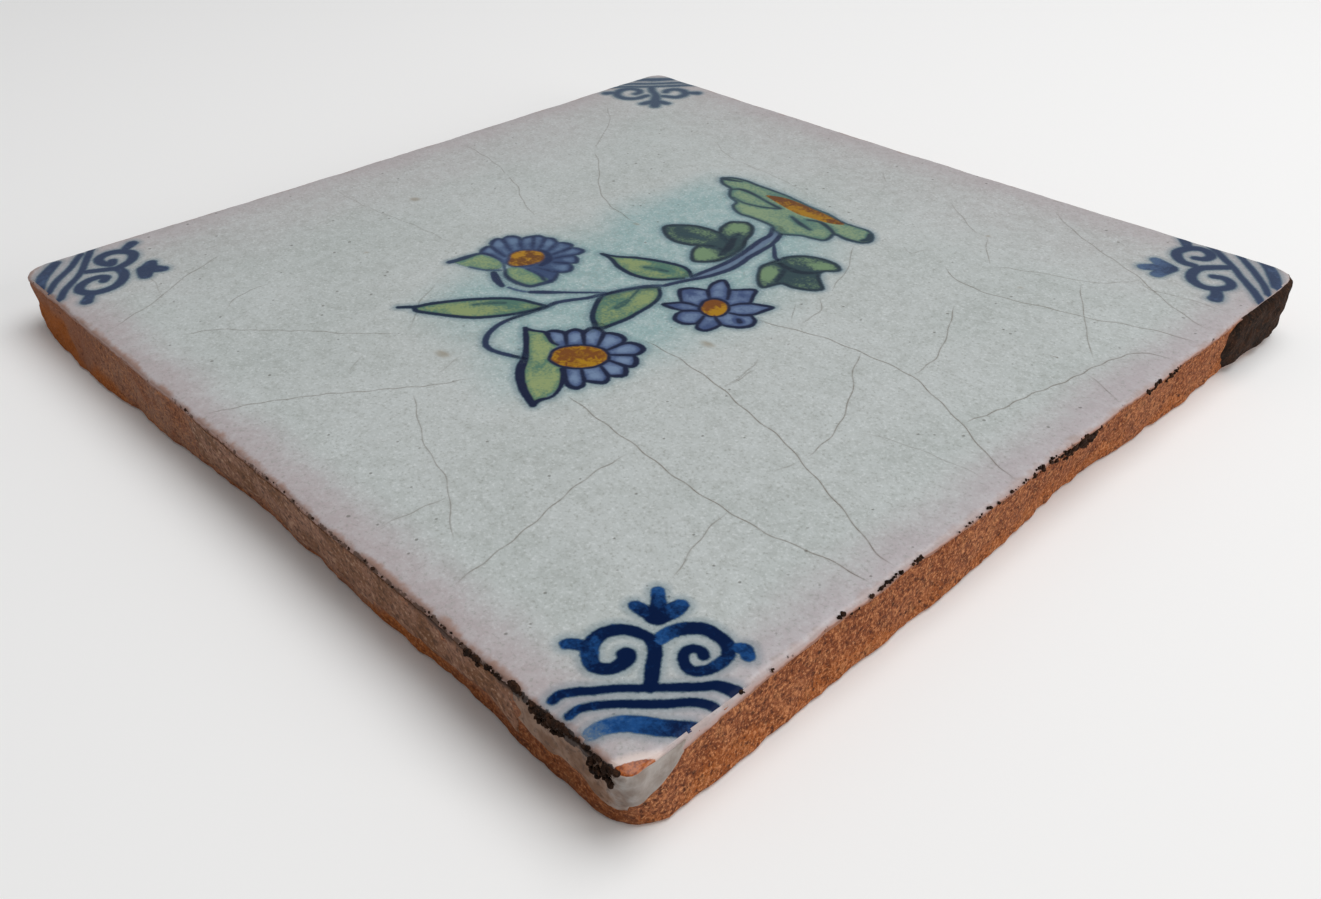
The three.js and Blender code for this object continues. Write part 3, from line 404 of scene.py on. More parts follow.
slab_cells = 184
wall_rows = [0.12, 0.3, 0.55, 0.9, 1.35, 1.8, 2.3, 2.8, 3.3, 3.8, 4.3, 4.8, 5.3, 5.8, 6.3, 6.8,
             7.2, 7.6, 7.95]
slab, ring_share, turn = round_grid(slab_cells)
spots = on_wall(turn, 0.0)
spots[:, :2] *= ring_share[:, None]
hollows = 0.07 + 0.13 * (lumpy(spots, 0.45) + 0.6 * lumpy(spots, 1.3))
spots[:, 2] = np.clip(hollows, 0, 0.3) * np.clip((1 - ring_share) * 40, 0, 1)
put_spots(slab.verts, spots * mm)
for height in wall_rows:
    row = grow_rim(slab)
    turn = turn_of(read_spots(row) / mm)
    level = on_wall(turn, height)
    pits = np.maximum(0, lumpy(level, 0.33, (9, 4, 2)) - 0.25)
    rough = lumpy(level, 0.5) * 0.14 + lumpy(level, 1.15) * 0.1 - pits * 0.5
    under_glaze = min(1, (8.2 - height) / 0.8)
    put_spots(row, on_wall(turn, height, rough * under_glaze) * mm)
close_up(slab)
set_down(slab, "clay_slab", clay_finish, "biscuit", "biscuit_body")


# The white glaze: a coat of tin glass half a millimetre thick, poured over the face. It has a
# soft rolled edge, runs a little down the side by the near corner, and is faintly uneven.
glaze_top = 8.5
glaze_edge = 8.15  # where the rolled edge ends and the lip on the side starts
glaze_roll = 0.7  # width of the rolled edge


def in_from_edge(x, y):
    return half_side * (1 - np.hypot(x, y) / reach_of(face_ring, np.arctan2(y, x)))


def glaze_level(x, y):
    """Height of the glazed face, with its slow unevenness and its rolled edge."""
    inward = np.clip(in_from_edge(x, y), 0, None)
    swell = (
        0.013 * np.sin(x / 3.1 + 1.3 * np.sin(y / 7.3)) * np.sin(y / 4.3 + 0.7)
        + 0.012 * np.sin(x / 8.9 - y / 6.1 + 2.0)
        + 0.008 * np.sin(x / 1.9 + y / 2.3)
    )
    swell = swell * np.clip((inward - 0.5) / 2.5, 0, 1)
    bead = 0.05 * np.exp(-((inward - 2.0) / 1.1) ** 2)
    rounding = np.sqrt(np.clip(1 - np.clip(1 - inward / glaze_roll, 0, 1) ** 2, 0, 1))
    return glaze_edge + (glaze_top - glaze_edge) * rounding + swell + bead


def past_chip(x, y):
    """How far a place lies past the bowed line where the near corner has chipped off."""
    off_middle = (x + y) * 0.7071
    past_chord = (x - y) * 0.7071 + off_middle * 0.35 - 90.1
    return past_chord - off_middle * off_middle * 0.04


glaze_finish = Finish("tin_glaze", IOR=1.5)
rim_gap, halo, bare, stained, dirt = (
    glaze_finish.read(name) for name in ("inward", "halo", "thin", "stain", "grime")
)
across, upward, tall = glaze_finish.axes()
cloud = glaze_finish.grain(14, 3, 0.55)
drift = glaze_finish.grain(5, 3, 0.6)
mottle = glaze_finish.grain(1.3, 3, 0.6)
fine = glaze_finish.grain(0.4, 3, 0.65)
glaze_finish.colour = glaze_finish.blend(cloud.fade(0.3, 0.7), (163, 169, 167), (172, 177, 176))

# The pink blush along the edges, a painted shade with a pinkish cast over the far parts of the face, and
# the blue green halo that the paint left round the spray.
pink = (rim_gap + 7.0 * (cloud - 0.5) + (mottle - 0.5)).fade(8.5, 0.3)
glaze_finish.tint(pink * 0.85, (166, 156, 160))
# Painted shade: the face's left and top parts, far from the viewer and seen at a low angle, are darkened
# with a pinkish grey.
far_painted_shade = glaze_finish.join("MAXIMUM", across * -1.0, upward) + (cloud - 0.5) * 16.0
glaze_finish.tint(far_painted_shade.fade(36, 62) * 0.55, (162, 156, 157))
front_pink = (upward + 1.2 * (mottle - 0.5) + 5.0 * (cloud - 0.5)).fade(-59.5, -64.0)
glaze_finish.tint(front_pink * 0.6, (160, 150, 151))
soft_halo = (halo + (mottle - 0.5) * 0.15 + (cloud - 0.5) * 0.35).fade(0.0, 1.0)
glaze_finish.tint(soft_halo * 0.82, (120, 156, 158))

# The mottle of old glass, with pin holes and a few brown stains.
glaze_finish.tint(mottle.fade(0.38, 0.66) * (1.0 - pink * 0.6) * 0.3, (188, 194, 195))
glaze_finish.tint(mottle.fade(0.45, 0.3) * 0.25, (146, 150, 147))
glaze_finish.tint(fine.fade(0.54, 0.68) * (1.0 - pink * 0.7) * 0.4, (205, 209, 210))
glaze_finish.tint(fine.fade(0.45, 0.32) * 0.45, (128, 130, 124))
pin_holes = (glaze_finish.scattered(330.0) + (cloud - 0.5) * 0.12).fade(0.085, 0.03)
glaze_finish.tint(pin_holes * 0.65, (88, 86, 80))
glaze_finish.tint((stained + (fine - 0.5) * 0.5).fade(0.3, 1.0) * 0.6, (126, 112, 88))

# The clay shows through where the glass is thin: on the worn edge and on the lip.
worn_edge = (rim_gap + (mottle - 0.5) * 1.5 + (drift - 0.5) * 2.2).fade(0.9, -0.1)
glaze_finish.tint(worn_edge * (0.45 + upward.fade(-61.0, -63.5) * 0.5), (142, 112, 100))
thin_glass = (bare + (mottle - 0.5) * 0.9 + (fine - 0.5) * 0.4).fade(0.25, 0.8)
glaze_finish.tint(thin_glass * 0.85, (158, 128, 120))
brown_glass = (bare + (mottle - 0.5) * 0.9).fade(0.7, 1.05)
glaze_finish.tint(brown_glass * 0.9, (126, 82, 60))

# The chip at the near corner, bare clay with a pale rim that is partly thin glass and partly a painted
# highlight, and the dark grime in the edges.
chipped = past_chip(across, upward) + (fine - 0.5) * 0.25
# A pale rim inside the chip: the thin glass there, lightened with a painted highlight.
glaze_finish.tint((chipped + (mottle - 0.5) * 1.2).fade(-1.1, -0.2) * 0.6, (208, 188, 178))
chip_clay = glaze_finish.blend(fine.fade(0.4, 0.6), (116, 50, 4), (156, 80, 20))
glaze_finish.tint(chipped.fade(-0.04, 0.06) * tall.fade(7.5, 7.7), chip_clay)
grime = (dirt + (fine - 0.5) + (mottle - 0.5) * 2.4).fade(0.5, 0.75) * dirt.fade(0.0, 0.1)
grime_colour = glaze_finish.blend(across.fade(42, 52), (84, 62, 50), (38, 27, 23))
glaze_finish.tint(grime * 0.92, grime_colour)
peel = glaze_finish.bump(glaze_finish.grain(1.7, 2, 0.5), 0.07, 0.7)
peel = glaze_finish.bump(fine, 0.03, 0.7, peel)
peel = glaze_finish.bump(1.0 - pin_holes, 0.06, 0.7, peel)
glaze_finish.wear(Base_Color=glaze_finish.colour, Normal=peel,
                  Roughness=0.24 + mottle * 0.16 + thin_glass * 0.2 + grime * 0.3)

coat_cells = 200
edge_steps = [0, 0.05, 0.14, 0.28, 0.46, 0.7, 1.0, 1.45]
even_steps = np.linspace(2.0, half_side, coat_cells // 2 + 1 - len(edge_steps))
ring_gaps = np.concatenate([edge_steps, even_steps])[::-1]
coat, ring_share, turn = round_grid(coat_cells)
inward = np.interp(ring_share * coat_cells / 2, np.arange(len(ring_gaps)), ring_gaps)
reach = reach_of(face_ring, turn) * (1 - inward / half_side)
x, y = reach * np.cos(turn), reach * np.sin(turn)
put_spots(coat.verts, np.stack([x, y, glaze_level(x, y)], -1) * mm)


def lip_foot(turn):
    """How low the glaze reaches down the side, which dips by the near corner."""
    x, y = np.cos(turn), np.sin(turn)
    up_side = np.where(x > 0.55, half_side * y / np.maximum(x, 0.01) + half_side, 99)
    along = [0, 3, 6, 10, 15, 20, 25, 35, 60]
    foot = [7.0, 6.7, 6.8, 7.1, 7.4, 7.62, 7.78, 7.88, 7.93]
    low = np.where((up_side >= 0) & (up_side < 60), np.interp(up_side, along, foot), 7.9)
    front = np.where(y < -0.55, half_side + half_side * x / np.maximum(-y, 0.01), -1)
    front_low = np.interp(front, [118, 130], [7.9, 6.9])
    low = np.where((front > 118) & (up_side < 0), front_low, low)
    return low + 0.1 * np.sin(turn * 61) + 0.06 * np.sin(turn * 137 + 1)


lip_rows = [(0.3, 0.06), (0.6, 0.12), (0.85, 0.11), (1.0, 0.0), (0.9, -0.6)]
for share, out in lip_rows:
    row = grow_rim(coat)
    turn = turn_of(read_spots(row) / mm)
    height = glaze_edge + (np.minimum(lip_foot(turn), 7.96) - glaze_edge) * share
    put_spots(row, on_wall(turn, height, out) * mm)
close_up(coat)
chip_slope = 0.4
chip_depth = 0.28
spots = read_spots(coat.verts) / mm
chip = np.clip(past_chip(spots[:, 0], spots[:, 1]) / chip_slope, 0, 1) * (spots[:, 2] > 7.7)
spots[:, 2] -= chip_depth * chip
put_spots(coat.verts, spots * mm)
glaze_coat = set_down(coat, "glaze_coat", glaze_finish, "tin_glaze", "tin_glaze")


def mark(piece, name, values):
    """Gives a piece one value at each of its points, for its finish to read."""
    layer = piece.data.attributes.new(name, "FLOAT", "POINT")
    layer.data.foreach_set("value", np.asarray(values, np.float32))


def patches(x, y, places):
    """Soft round patches, each with its middle, its half width and height, and its strength."""
    return np.zeros(len(x)) + sum(
        strength * np.exp(-((x - middle_x) / wide) ** 2 - ((y - middle_y) / high) ** 2)
        for middle_x, middle_y, wide, high, strength in places
    )


x, y, z = spots.T
turn = turn_of(spots)
mark(glaze_coat, "inward", np.clip(in_from_edge(x, y), 0, None))
halo_turns = [-180, -159, -140, -129, -120, -109, -90, -73, -62, -54, -43, -25, 0, 30, 48, 64, 75,
              90, 106, 121, 132, 146, 163, 180]
halo_reach = [17, 22.5, 23.4, 25.6, 30, 30.7, 29, 34.5, 34, 29.7, 23.3, 18.8, 18, 19.7, 24, 27.7,
              30, 34, 35.4, 35, 26.9, 23, 16.8, 17]
reach = np.interp(np.degrees(turn), halo_turns, halo_reach)
mark(glaze_coat, "halo", np.clip((reach - np.hypot(x, y)) / 15 + 0.5, 0, 1))

# Thin glass and grime, by the distance in mm from the near corner along each of the two edges.
elsewhere = 99
dirt_reach = 98  # the grime thins out evenly beyond this
along_right = np.where(np.cos(turn) > 0.6, y + half_side, elsewhere)
along_front = np.where(np.sin(turn) < -0.6, half_side - x, elsewhere)
from_corner = np.where(x > -y, along_right, along_front)
thin_depth = np.interp(from_corner, [0, 4, 8, 14, 24], [2.6, 2.2, 1.5, 0.9, 0.42])
mark(glaze_coat, "thin", np.clip((8.46 - z) / thin_depth, 0, 1.3))
front_places = [0, 0.8, 1.6, 4, 5.5, 7.5, 12, 14, 22, 40, 70, 130]
front_dirt = [0.0, 0.3, 0.9, 0.8, 0.45, 0.85, 0.8, 0.6, 0.75, 0.7, 0.4, 0.2]
right_places = [0, 10, 30, 60, 100, 130]
right_dirt = [0.0, 0.1, 0.25, 0.2, 0.25, 0.1]
off_front, off_right = along_front > dirt_reach, along_right > dirt_reach
dirty = np.interp(along_front, front_places, front_dirt)
dirty = np.where(off_front, np.interp(along_right, right_places, right_dirt), dirty)
dirty = np.where(off_front & off_right, 0.2, dirty)
below_face = np.clip((glaze_top - z) / 0.25, 0, 1) * np.clip((z - 6.6) / 0.8, 0, 1)
mark(glaze_coat, "grime", dirty * below_face)
mark(glaze_coat, "stain", patches(x, y, [
    (20.4, -9, 1.6, 0.9, 1), (-45.7, -8.6, 1.3, 1.0, 1), (-1.6, -35, 1.6, 1.0, 1),
    (-34.2, -25.4, 0.6, 0.6, 1), (-13.3, 10.2, 0.7, 0.7, 1), (27.2, 44.7, 0.6, 0.6, 1),
    (39.9, 33.3, 0.6, 0.6, 1), (55.3, -53.2, 0.5, 0.5, 1),
]))


# The painting: cobalt, green and ochre brushed on the raw glaze and sunk into it in the fire,
# so every stroke has a soft edge. Each motif is a film as thin as a hair on the glazed face.
def glide(before, start, stop, after, share):
    """A point on the smooth curve from start to stop, which also heeds the points beyond."""
    return 0.5 * (2 * start + (stop - before) * share
                  + (2 * before - 5 * start + 4 * stop - after) * share * share
                  + (3 * start - before - 3 * stop + after) * share ** 3)


def brush(points, width=0.8, load=0.7):
    """A brush stroke through the points. Width in mm and load of pigment may change along it."""
    points = np.array(points, float)
    ends = np.vstack([2 * points[0] - points[1], points, 2 * points[-1] - points[-2]])
    track = []
    for k in range(len(points) - 1):
        step = 0.2 / max(np.hypot(*(points[k + 1] - points[k])), 0.2)
        track += [glide(*ends[k:k + 4], share) for share in np.arange(0, 1, step)]
    track = np.array(track + [points[-1]])
    share = np.linspace(0, 1, len(track))
    widths = np.interp(share, np.linspace(0, 1, np.size(width)), np.atleast_1d(width))
    loads = np.interp(share, np.linspace(0, 1, np.size(load)), np.atleast_1d(load))
    return np.column_stack([track, widths, loads])


def shape(points):
    """A smooth closed outline through the points."""
    points = np.array(points, float)
    near = [[points[(k + j) % len(points)] for j in (-1, 0, 1, 2)] for k in range(len(points))]
    return np.array([glide(*four, share) for four in near for share in (0, 0.25, 0.5, 0.75)])


def from_strokes(at, strokes):
    """Distance in mm to the edge of the nearest stroke, and that stroke's load there."""
    nearest = np.full(len(at), 9.0)
    load = np.zeros(len(at))
    for stroke in strokes:
        gaps = np.hypot(at[:, :1] - stroke[:, 0], at[:, 1:] - stroke[:, 1]) - stroke[:, 2] / 2
        pick = gaps.argmin(1)
        gap = gaps[np.arange(len(at)), pick]
        load = np.where(gap < nearest, stroke[pick, 3], load)
        nearest = np.minimum(nearest, gap)
    return nearest, load


def from_shapes(at, shapes):
    """Distance in mm to the nearest outline, less than nothing inside it."""
    nearest = np.full(len(at), 9.0)
    for ring in shapes:
        ahead = np.roll(ring, -1, 0)
        along = ahead - ring
        length = np.maximum((along ** 2).sum(1), 1e-9)
        step = ((at[:, None] - ring) * along).sum(2) / length
        foot = ring + along * np.clip(step, 0, 1)[..., None]
        gap = np.sqrt(((at[:, None] - foot) ** 2).sum(2)).min(1)
        beside = (ring[:, 1] > at[:, 1:]) != (ahead[:, 1] > at[:, 1:])
        rise = np.where(abs(along[:, 1]) < 1e-9, 1e-9, along[:, 1])
        crossing = (at[:, 1:] - ring[:, 1]) * along[:, 0] / rise + ring[:, 0]
        inside = (beside & (at[:, :1] < crossing)).sum(1) % 2 == 1
        nearest = np.minimum(nearest, np.where(inside, -gap, gap))
    return nearest


def cut_away(sheet, gone):
    """Takes points out of a sheet, and any others that no face holds after that."""
    sheet.verts.ensure_lookup_table()
    taken = [sheet.verts[k] for k in np.nonzero(gone)[0]]
    bmesh.ops.delete(sheet, geom=taken, context="VERTS")
    loose = [point for point in sheet.verts if not point.link_faces]
    bmesh.ops.delete(sheet, geom=loose, context="VERTS")


film_cell = 0.22
sheet_margin = 1.7  # the whole sheet's margin, before it is cut
film_margin = 1.3  # how far the film reaches past its outermost mark
film_lift = 0.025  # how far it lies above the glaze


def paint_film(name, finish, slot, nodes, strokes=(), washes=(), leaves=(), hearts=(), tones=()):
    """A motif's paint film: a fine sheet on the glaze, cut away where no pigment reaches."""
    outlines = [*washes, *leaves, *hearts]
    corners = np.vstack([np.asarray(item)[:, :2] for item in [*strokes, *outlines]])
    low, high = corners.min(0) - sheet_margin, corners.max(0) + sheet_margin
    columns, rows = (int(count) for count in np.ceil((high - low) / film_cell))
    film = bmesh.new()
    bmesh.ops.create_grid(film, x_segments=columns, y_segments=rows, size=1)
    at = low + (read_spots(film.verts)[:, :2] + 1) / 2 * (high - low)
    put_spots(film.verts, np.column_stack([at, np.zeros(len(at))]))
    near = np.minimum(from_strokes(at, strokes)[0], from_shapes(at, outlines))
    kept = (near < film_margin) & (in_from_edge(at[:, 0], at[:, 1]) > 0.03)
    cut_away(film, ~kept)
    at = read_spots(film.verts)[:, :2]
    level = glaze_level(at[:, 0], at[:, 1]) + film_lift
    put_spots(film.verts, np.column_stack([at, level]) * mm)
    piece = set_down(film, name, finish, slot, *nodes)
    ink, load = from_strokes(at, strokes)
    fields = {"ink": ink, "wash": from_shapes(at, washes), "leaf": from_shapes(at, leaves),
              "heart": from_shapes(at, hearts)}
    for field, values in fields.items():
        mark(piece, field, values)
    mark(piece, "reach", np.min(list(fields.values()), 0))
    mark(piece, "load", load)
    mark(piece, "tone", patches(at[:, 0], at[:, 1], tones))


def paint_finish(name, ink, wash=(), leaf=(), heart=(), hold=1.0, soft=0.16, wash_hold=0.92,
                 gloss=0.25):
    """Pigment in glass: each has a thin colour, a thick colour, and a mask from its own mark."""
    finish = Finish(name, IOR=1.5, Specular_IOR_Level=gloss)
    fine = finish.grain(0.4, 3, 0.65)
    broad = finish.grain(1.8, 3, 0.6, 0.6)
    tone = finish.read("tone")
    load = finish.read("load")
    ragged = (fine - 0.5) * 0.24 + (broad - 0.5) * 0.2
    line = finish.read("ink") + ragged
    finish.colour = (104, 134, 150)
    cover = (finish.read("reach") + ragged).fade(1.2, -0.1) * 0.3

    def lay(mask, share, pigment):
        nonlocal cover
        finish.tint(mask, finish.blend(share, *pigment))
        cover = 1.0 - (1.0 - cover) * (1.0 - mask)

    def washed(field):
        return (finish.read(field) + ragged * 1.6).fade(0.32, -0.3) * wash_hold

    pooled = broad * 0.75 + fine * 0.4 + tone + line.fade(0.8, 0.0) * 0.25
    if wash:
        lay(washed("wash"), pooled.fade(0.3, 1.0), wash)
    if leaf:
        lay(washed("leaf"), (pooled + (fine - 0.5) * 0.9).fade(0.3, 1.0), leaf)
    if heart:
        blots = tone + (finish.grain(1.0, 3, 0.6, 0.8) - 0.5) * 2.6 + (fine - 0.5) * 0.5
        yolk = finish.read("heart") + ragged * 0.5
        lay(yolk.fade(0.15, -0.15), blots.fade(-0.5, 0.35), heart)
    drawn = line.fade(soft, -soft)
    drawn = drawn * (load + (fine - 0.5) * 0.5 + (broad - 0.5) * 0.5).fade(-0.15, 0.35) * hold
    lay(drawn, (load + (broad - 0.5) * 0.9 + (fine - 0.5) * 0.6).fade(0.2, 0.75), ink)
    peel = finish.bump(finish.grain(1.7, 2, 0.5), 0.07, 0.7)
    peel = finish.bump(fine, 0.03, 0.6, peel)
    finish.wear(Base_Color=finish.colour, Alpha=cover, Roughness=0.24 + fine * 0.14, Normal=peel)
    return finish


# The four corner ornaments: an ox-head motif in cobalt, the old filling of such tiles. Each has
# a bud of three lobes, two scrolls on one stem, and two bands and a fill across the corner.
corner_finish = paint_finish("corner_cobalt", ((26, 70, 124), (0, 20, 56)), soft=0.17, gloss=0.06)
side_corner_finish = paint_finish("side_corner_cobalt", ((60, 82, 118), (26, 40, 74)), soft=0.26,
                                  hold=0.93)
far_corner_finish = paint_finish("far_corner_cobalt", ((64, 84, 112), (34, 50, 80)), soft=0.55, hold=0.85)
near_corner = [
    brush([(52.9, -49.7), (51.6, -48.3), (50.3, -47.1)], [1.9, 1.6, 1.3], [0.95, 0.5, 0.35]),
    brush([(52.9, -49.7), (53.2, -48.2), (53.3, -47.1)], [2.2, 2.2, 1.8], [0.95, 0.5, 0.4]),
    brush([(52.9, -49.7), (51.4, -50.0), (50.3, -50.1)], [1.9, 1.7, 1.4], [0.95, 0.55, 0.4]),
    brush([(52.9, -49.7), (52.7, -49.9)], [2.1, 2.0], 0.95),
    brush([(55.2, -51.7), (55.2, -50.5), (55.8, -49.0), (57.0, -47.8), (58.5, -47.5), (60.0, -47.7),
           (61.0, -48.7), (61.2, -50.1), (60.9, -51.5), (60.0, -52.4), (58.8, -52.1), (58.0, -51.2),
           (58.2, -50.3), (59.0, -50.0), (59.5, -50.3)],
          [1.5, 1.7, 1.5, 1.3, 1.3, 1.1, 1.2], [0.3, 0.75, 0.85, 0.6, 0.7, 0.9, 0.9]),
    brush([(60.4, -47.9), (61.5, -47.0), (62.4, -47.5)], [1.1, 1.5, 1.3], 0.45),
    brush([(59.0, -56.5), (57.8, -55.1), (56.7, -53.8), (55.8, -52.8), (54.6, -52.25), (53.4, -52.4),
           (52.1, -53.0), (51.2, -54.2), (51.0, -55.5), (51.5, -56.9), (52.6, -57.9), (53.7, -58.3),
           (54.75, -57.6), (55.1, -56.5), (54.9, -55.5), (54.5, -55.2)],
          [1.3, 1.4, 1.4, 1.3, 1.4, 1.6, 1.7, 1.5, 1.4, 1.8],
          [0.95, 0.85, 0.7, 0.9, 0.6, 0.55, 0.8, 0.9]),
    brush([(51.5, -57.0), (50.1, -57.8), (49.75, -58.2)], [1.2, 1.5, 1.4], [0.6, 0.45]),
    brush([(54.25, -63.7), (54.2, -62.8), (54.9, -61.5), (56, -60.1), (57.1, -58.6), (58.4, -57.2),
           (59.2, -56.3), (60.5, -54.9), (61.9, -53.4), (63, -52.1), (64.7, -51.4)],
          [1.15, 1.1, 1.0, 1.1, 1.2, 1.6], [0.5, 0.95, 1.0, 1.0, 0.95, 0.9]),
    brush([(56.6, -63.9), (56.6, -62.8), (57.4, -61.2), (58.7, -59.6), (60.1, -58.2), (61.5, -56.7),
           (62.8, -55.1), (64, -54.3), (65.2, -54.0)], [1.0, 1.1, 1.15], [0.5, 0.95, 1.0, 0.95]),
    brush([(59.4, -63.8), (59.6, -62.6), (60.5, -61.0), (61.8, -59.9), (62.9, -59.2), (64, -58.2),
           (65.1, -57.2)], [1.5, 1.9, 2.1, 2.0, 1.9], [0.15, 0.3, 0.45, 0.5, 0.6]),
]
right_corner = [
    brush([(51.3, 53.6), (50.0, 54.2), (48.7, 54.8)], [2.2, 1.9, 1.4], [0.7, 0.4, 0.3]),
    brush([(51.2, 53.4), (49.9, 52.6), (48.6, 51.5)], [2.2, 2.0, 1.6], [0.7, 0.4, 0.3]),
    brush([(51.2, 53.4), (51.1, 52.0), (51.0, 50.6)], [2.2, 1.9, 1.6], [0.7, 0.5, 0.3]),
    brush([(57.4, 60.1), (55.5, 58.2), (54.3, 56.5), (54.3, 54.4), (55.1, 52.6), (56.5, 51.6),
           (57.8, 51.5), (59.2, 52.4), (59.9, 54.0), (59.4, 55.3), (58.2, 56.0), (56.9, 55.5)],
          [1.3, 1.4, 1.3, 1.2], 0.9),
    brush([(58.9, 51.9), (59.8, 50.3), (60.1, 49.1)], [1.3, 1.7], 0.7),
    brush([(53.3, 56.9), (51.7, 56.9), (50.3, 58.0), (49.6, 59.6), (50.1, 61.5), (51.2, 62.6),
           (52.6, 62.6), (53.7, 61.5), (53.5, 60.0), (52.4, 59.4)], [1.3, 1.4, 1.2], 0.9),
    brush([(49.9, 62.1), (48.9, 63.4), (48.3, 64.2)], [1.2, 1.5], 0.75),
    brush([(52.1, 64.6), (53.95, 63.3), (55.5, 61.9), (57.4, 60.4), (59.2, 58.5), (61, 56.7),
           (62.8, 54.9), (64.9, 52.6)], [1.2, 1.1, 1.3], 0.95),
    brush([(56.5, 64.6), (58.3, 62.8), (60.1, 61), (61.7, 59.2), (63.3, 57.3), (64.5, 55.5)], 1.1, 0.95),
    brush([(59.9, 64.9), (61.2, 63.5), (62.4, 61.9), (63.5, 60.1), (64.4, 58.5)], [1.6, 1.9, 1.6],
          [0.7, 0.6]),
]
left_corner = [
    brush([(-52.0, -51.0), (-53.0, -50.4), (-53.6, -49.9)], [2.2, 1.9, 1.5], [0.95, 0.7, 0.6]),
    brush([(-52.0, -51.0), (-51.0, -50.2), (-50.4, -49.6)], [2.2, 1.9, 1.5], [0.95, 0.7, 0.6]),
    brush([(-52.2, -51.4), (-50.9, -52.0), (-50.0, -52.4)], [2.2, 2.0, 1.6], [0.95, 0.8, 0.7]),
    brush([(-55.3, -54.2), (-56.4, -56.2), (-57.3, -57.9)], [1.3, 1.2, 1.2], 0.9),
    brush([(-55.3, -54.4), (-56.2, -52.1), (-57.6, -50.8), (-59.2, -50.5), (-60.7, -51.7), (-61.1, -53.4),
           (-60.3, -54.9), (-58.7, -55.2), (-57.25, -54.4), (-58.3, -53.7)], [1.3, 1.4, 1.2], 0.9),
    brush([(-60.9, -50.5), (-61.5, -49.7), (-62, -49)], [1.2, 1.5], 0.7),
    brush([(-54.9, -54.2), (-53.3, -54.2), (-51.5, -55.1), (-50.1, -56.7), (-49.75, -58.5),
           (-50.3, -60.3), (-51.9, -61.2), (-53.5, -60.5), (-54.4, -59.0), (-54.4, -57.4), (-53.6, -56.7),
           (-52.8, -57.4)],
          [1.3, 1.4, 1.2], [0.8, 0.95, 0.9]),
    brush([(-50.1, -60.5), (-48.9, -61.3), (-48.05, -61.9)], [1.2, 1.5], 0.7),
    brush([(-64.3, -54.4), (-62.6, -55.5), (-60.8, -56.7), (-59, -57.8), (-57.1, -59.2), (-55.5, -60.8),
           (-53.7, -62.6), (-51.5, -64.2)], [1.2, 1.1, 1.2], 0.95),
    brush([(-63.7, -56.2), (-61.9, -57.8), (-60.1, -59.4), (-58.5, -61.2), (-56.9, -62.8),
           (-54.6, -64.6)], 1.1, 0.95),
    brush([(-63.3, -60.1), (-61.9, -61.5), (-60.3, -63), (-58.5, -64.2), (-56.9, -64.9)], [1.6, 1.9, 1.5],
          [0.7, 0.6]),
]
far_corner = [
    brush([(-52, 51.8), (-50.6, 52.3), (-49.4, 52.6)], [1.9, 1.7, 1.4], [0.95, 0.75]),
    brush([(-52, 51.8), (-50.8, 50.6), (-49.8, 49.6)], [2.0, 1.9, 1.6], [0.95, 0.75]),
    brush([(-52, 51.8), (-52.4, 50.3), (-52.7, 49.0)], [1.9, 1.7, 1.4], [0.95, 0.75]),
    brush([(-52, 51.8), (-53.6, 53.6), (-55.2, 55), (-57.2, 56), (-59.4, 57.8)], [1.8, 1.3, 1.3], 0.9),
    brush([(-53.1, 55.4), (-50.8, 56.8), (-50.6, 59.2), (-52.4, 60.8), (-54.4, 60.4), (-55.2, 58.8),
           (-54.7, 57.6)],
          [1.3, 1.4, 1.3], 0.9),
    brush([(-51, 60.6), (-50.1, 61.3), (-49.4, 61.8)], [1.2, 1.5], 0.75),
    brush([(-55.9, 53.1), (-56.2, 50.4), (-58.2, 48.6), (-60.9, 49.1), (-62.3, 51.4), (-61.7, 53.7),
           (-59.8, 54.4), (-58.5, 53.4), (-58.4, 52.3)], [1.3, 1.4, 1.2], 0.9),
    brush([(-61.7, 49.8), (-62.6, 48.9), (-63.1, 48)], [1.2, 1.5], 0.75),
    brush([(-54.1, 64.4), (-57, 60.7), (-59.8, 57.4), (-62.8, 54.1), (-64.6, 52.1)], 1.15, 0.95),
    brush([(-56.4, 64.2), (-59.8, 60.1), (-62.6, 57), (-64.6, 54.6)], 1.1, 0.95),
    brush([(-59.8, 63.9), (-61.6, 61.7), (-63.1, 60.1), (-64.6, 58.4)], [1.6, 1.9, 1.6], [0.7, 0.6]),
]
far_middle = [-57, 57]
far_shrink = 0.08  # the far motif is drawn this much smaller
for where, finish, strokes, fuller in [
    ("bottom_right", corner_finish, near_corner, 1.05),
    ("top_right", side_corner_finish, right_corner, 1.2),
    ("bottom_left", side_corner_finish, left_corner, 1.2),
    ("top_left", far_corner_finish, far_corner, 1.2),
]:
    nodes = [f"corner_{where}_{part}" for part in ("bud", "scrolls", "inner_band", "fill")]
    for stroke in strokes[:-3]:  # the bud and the scrolls, without the bands and the fill
        stroke[:, 2] *= fuller
        if where == "top_left":
            stroke[:, :2] += (far_middle - stroke[:, :2]) * far_shrink
    paint_film(f"ox_head_{where}", finish, "dark_cobalt", nodes, strokes)


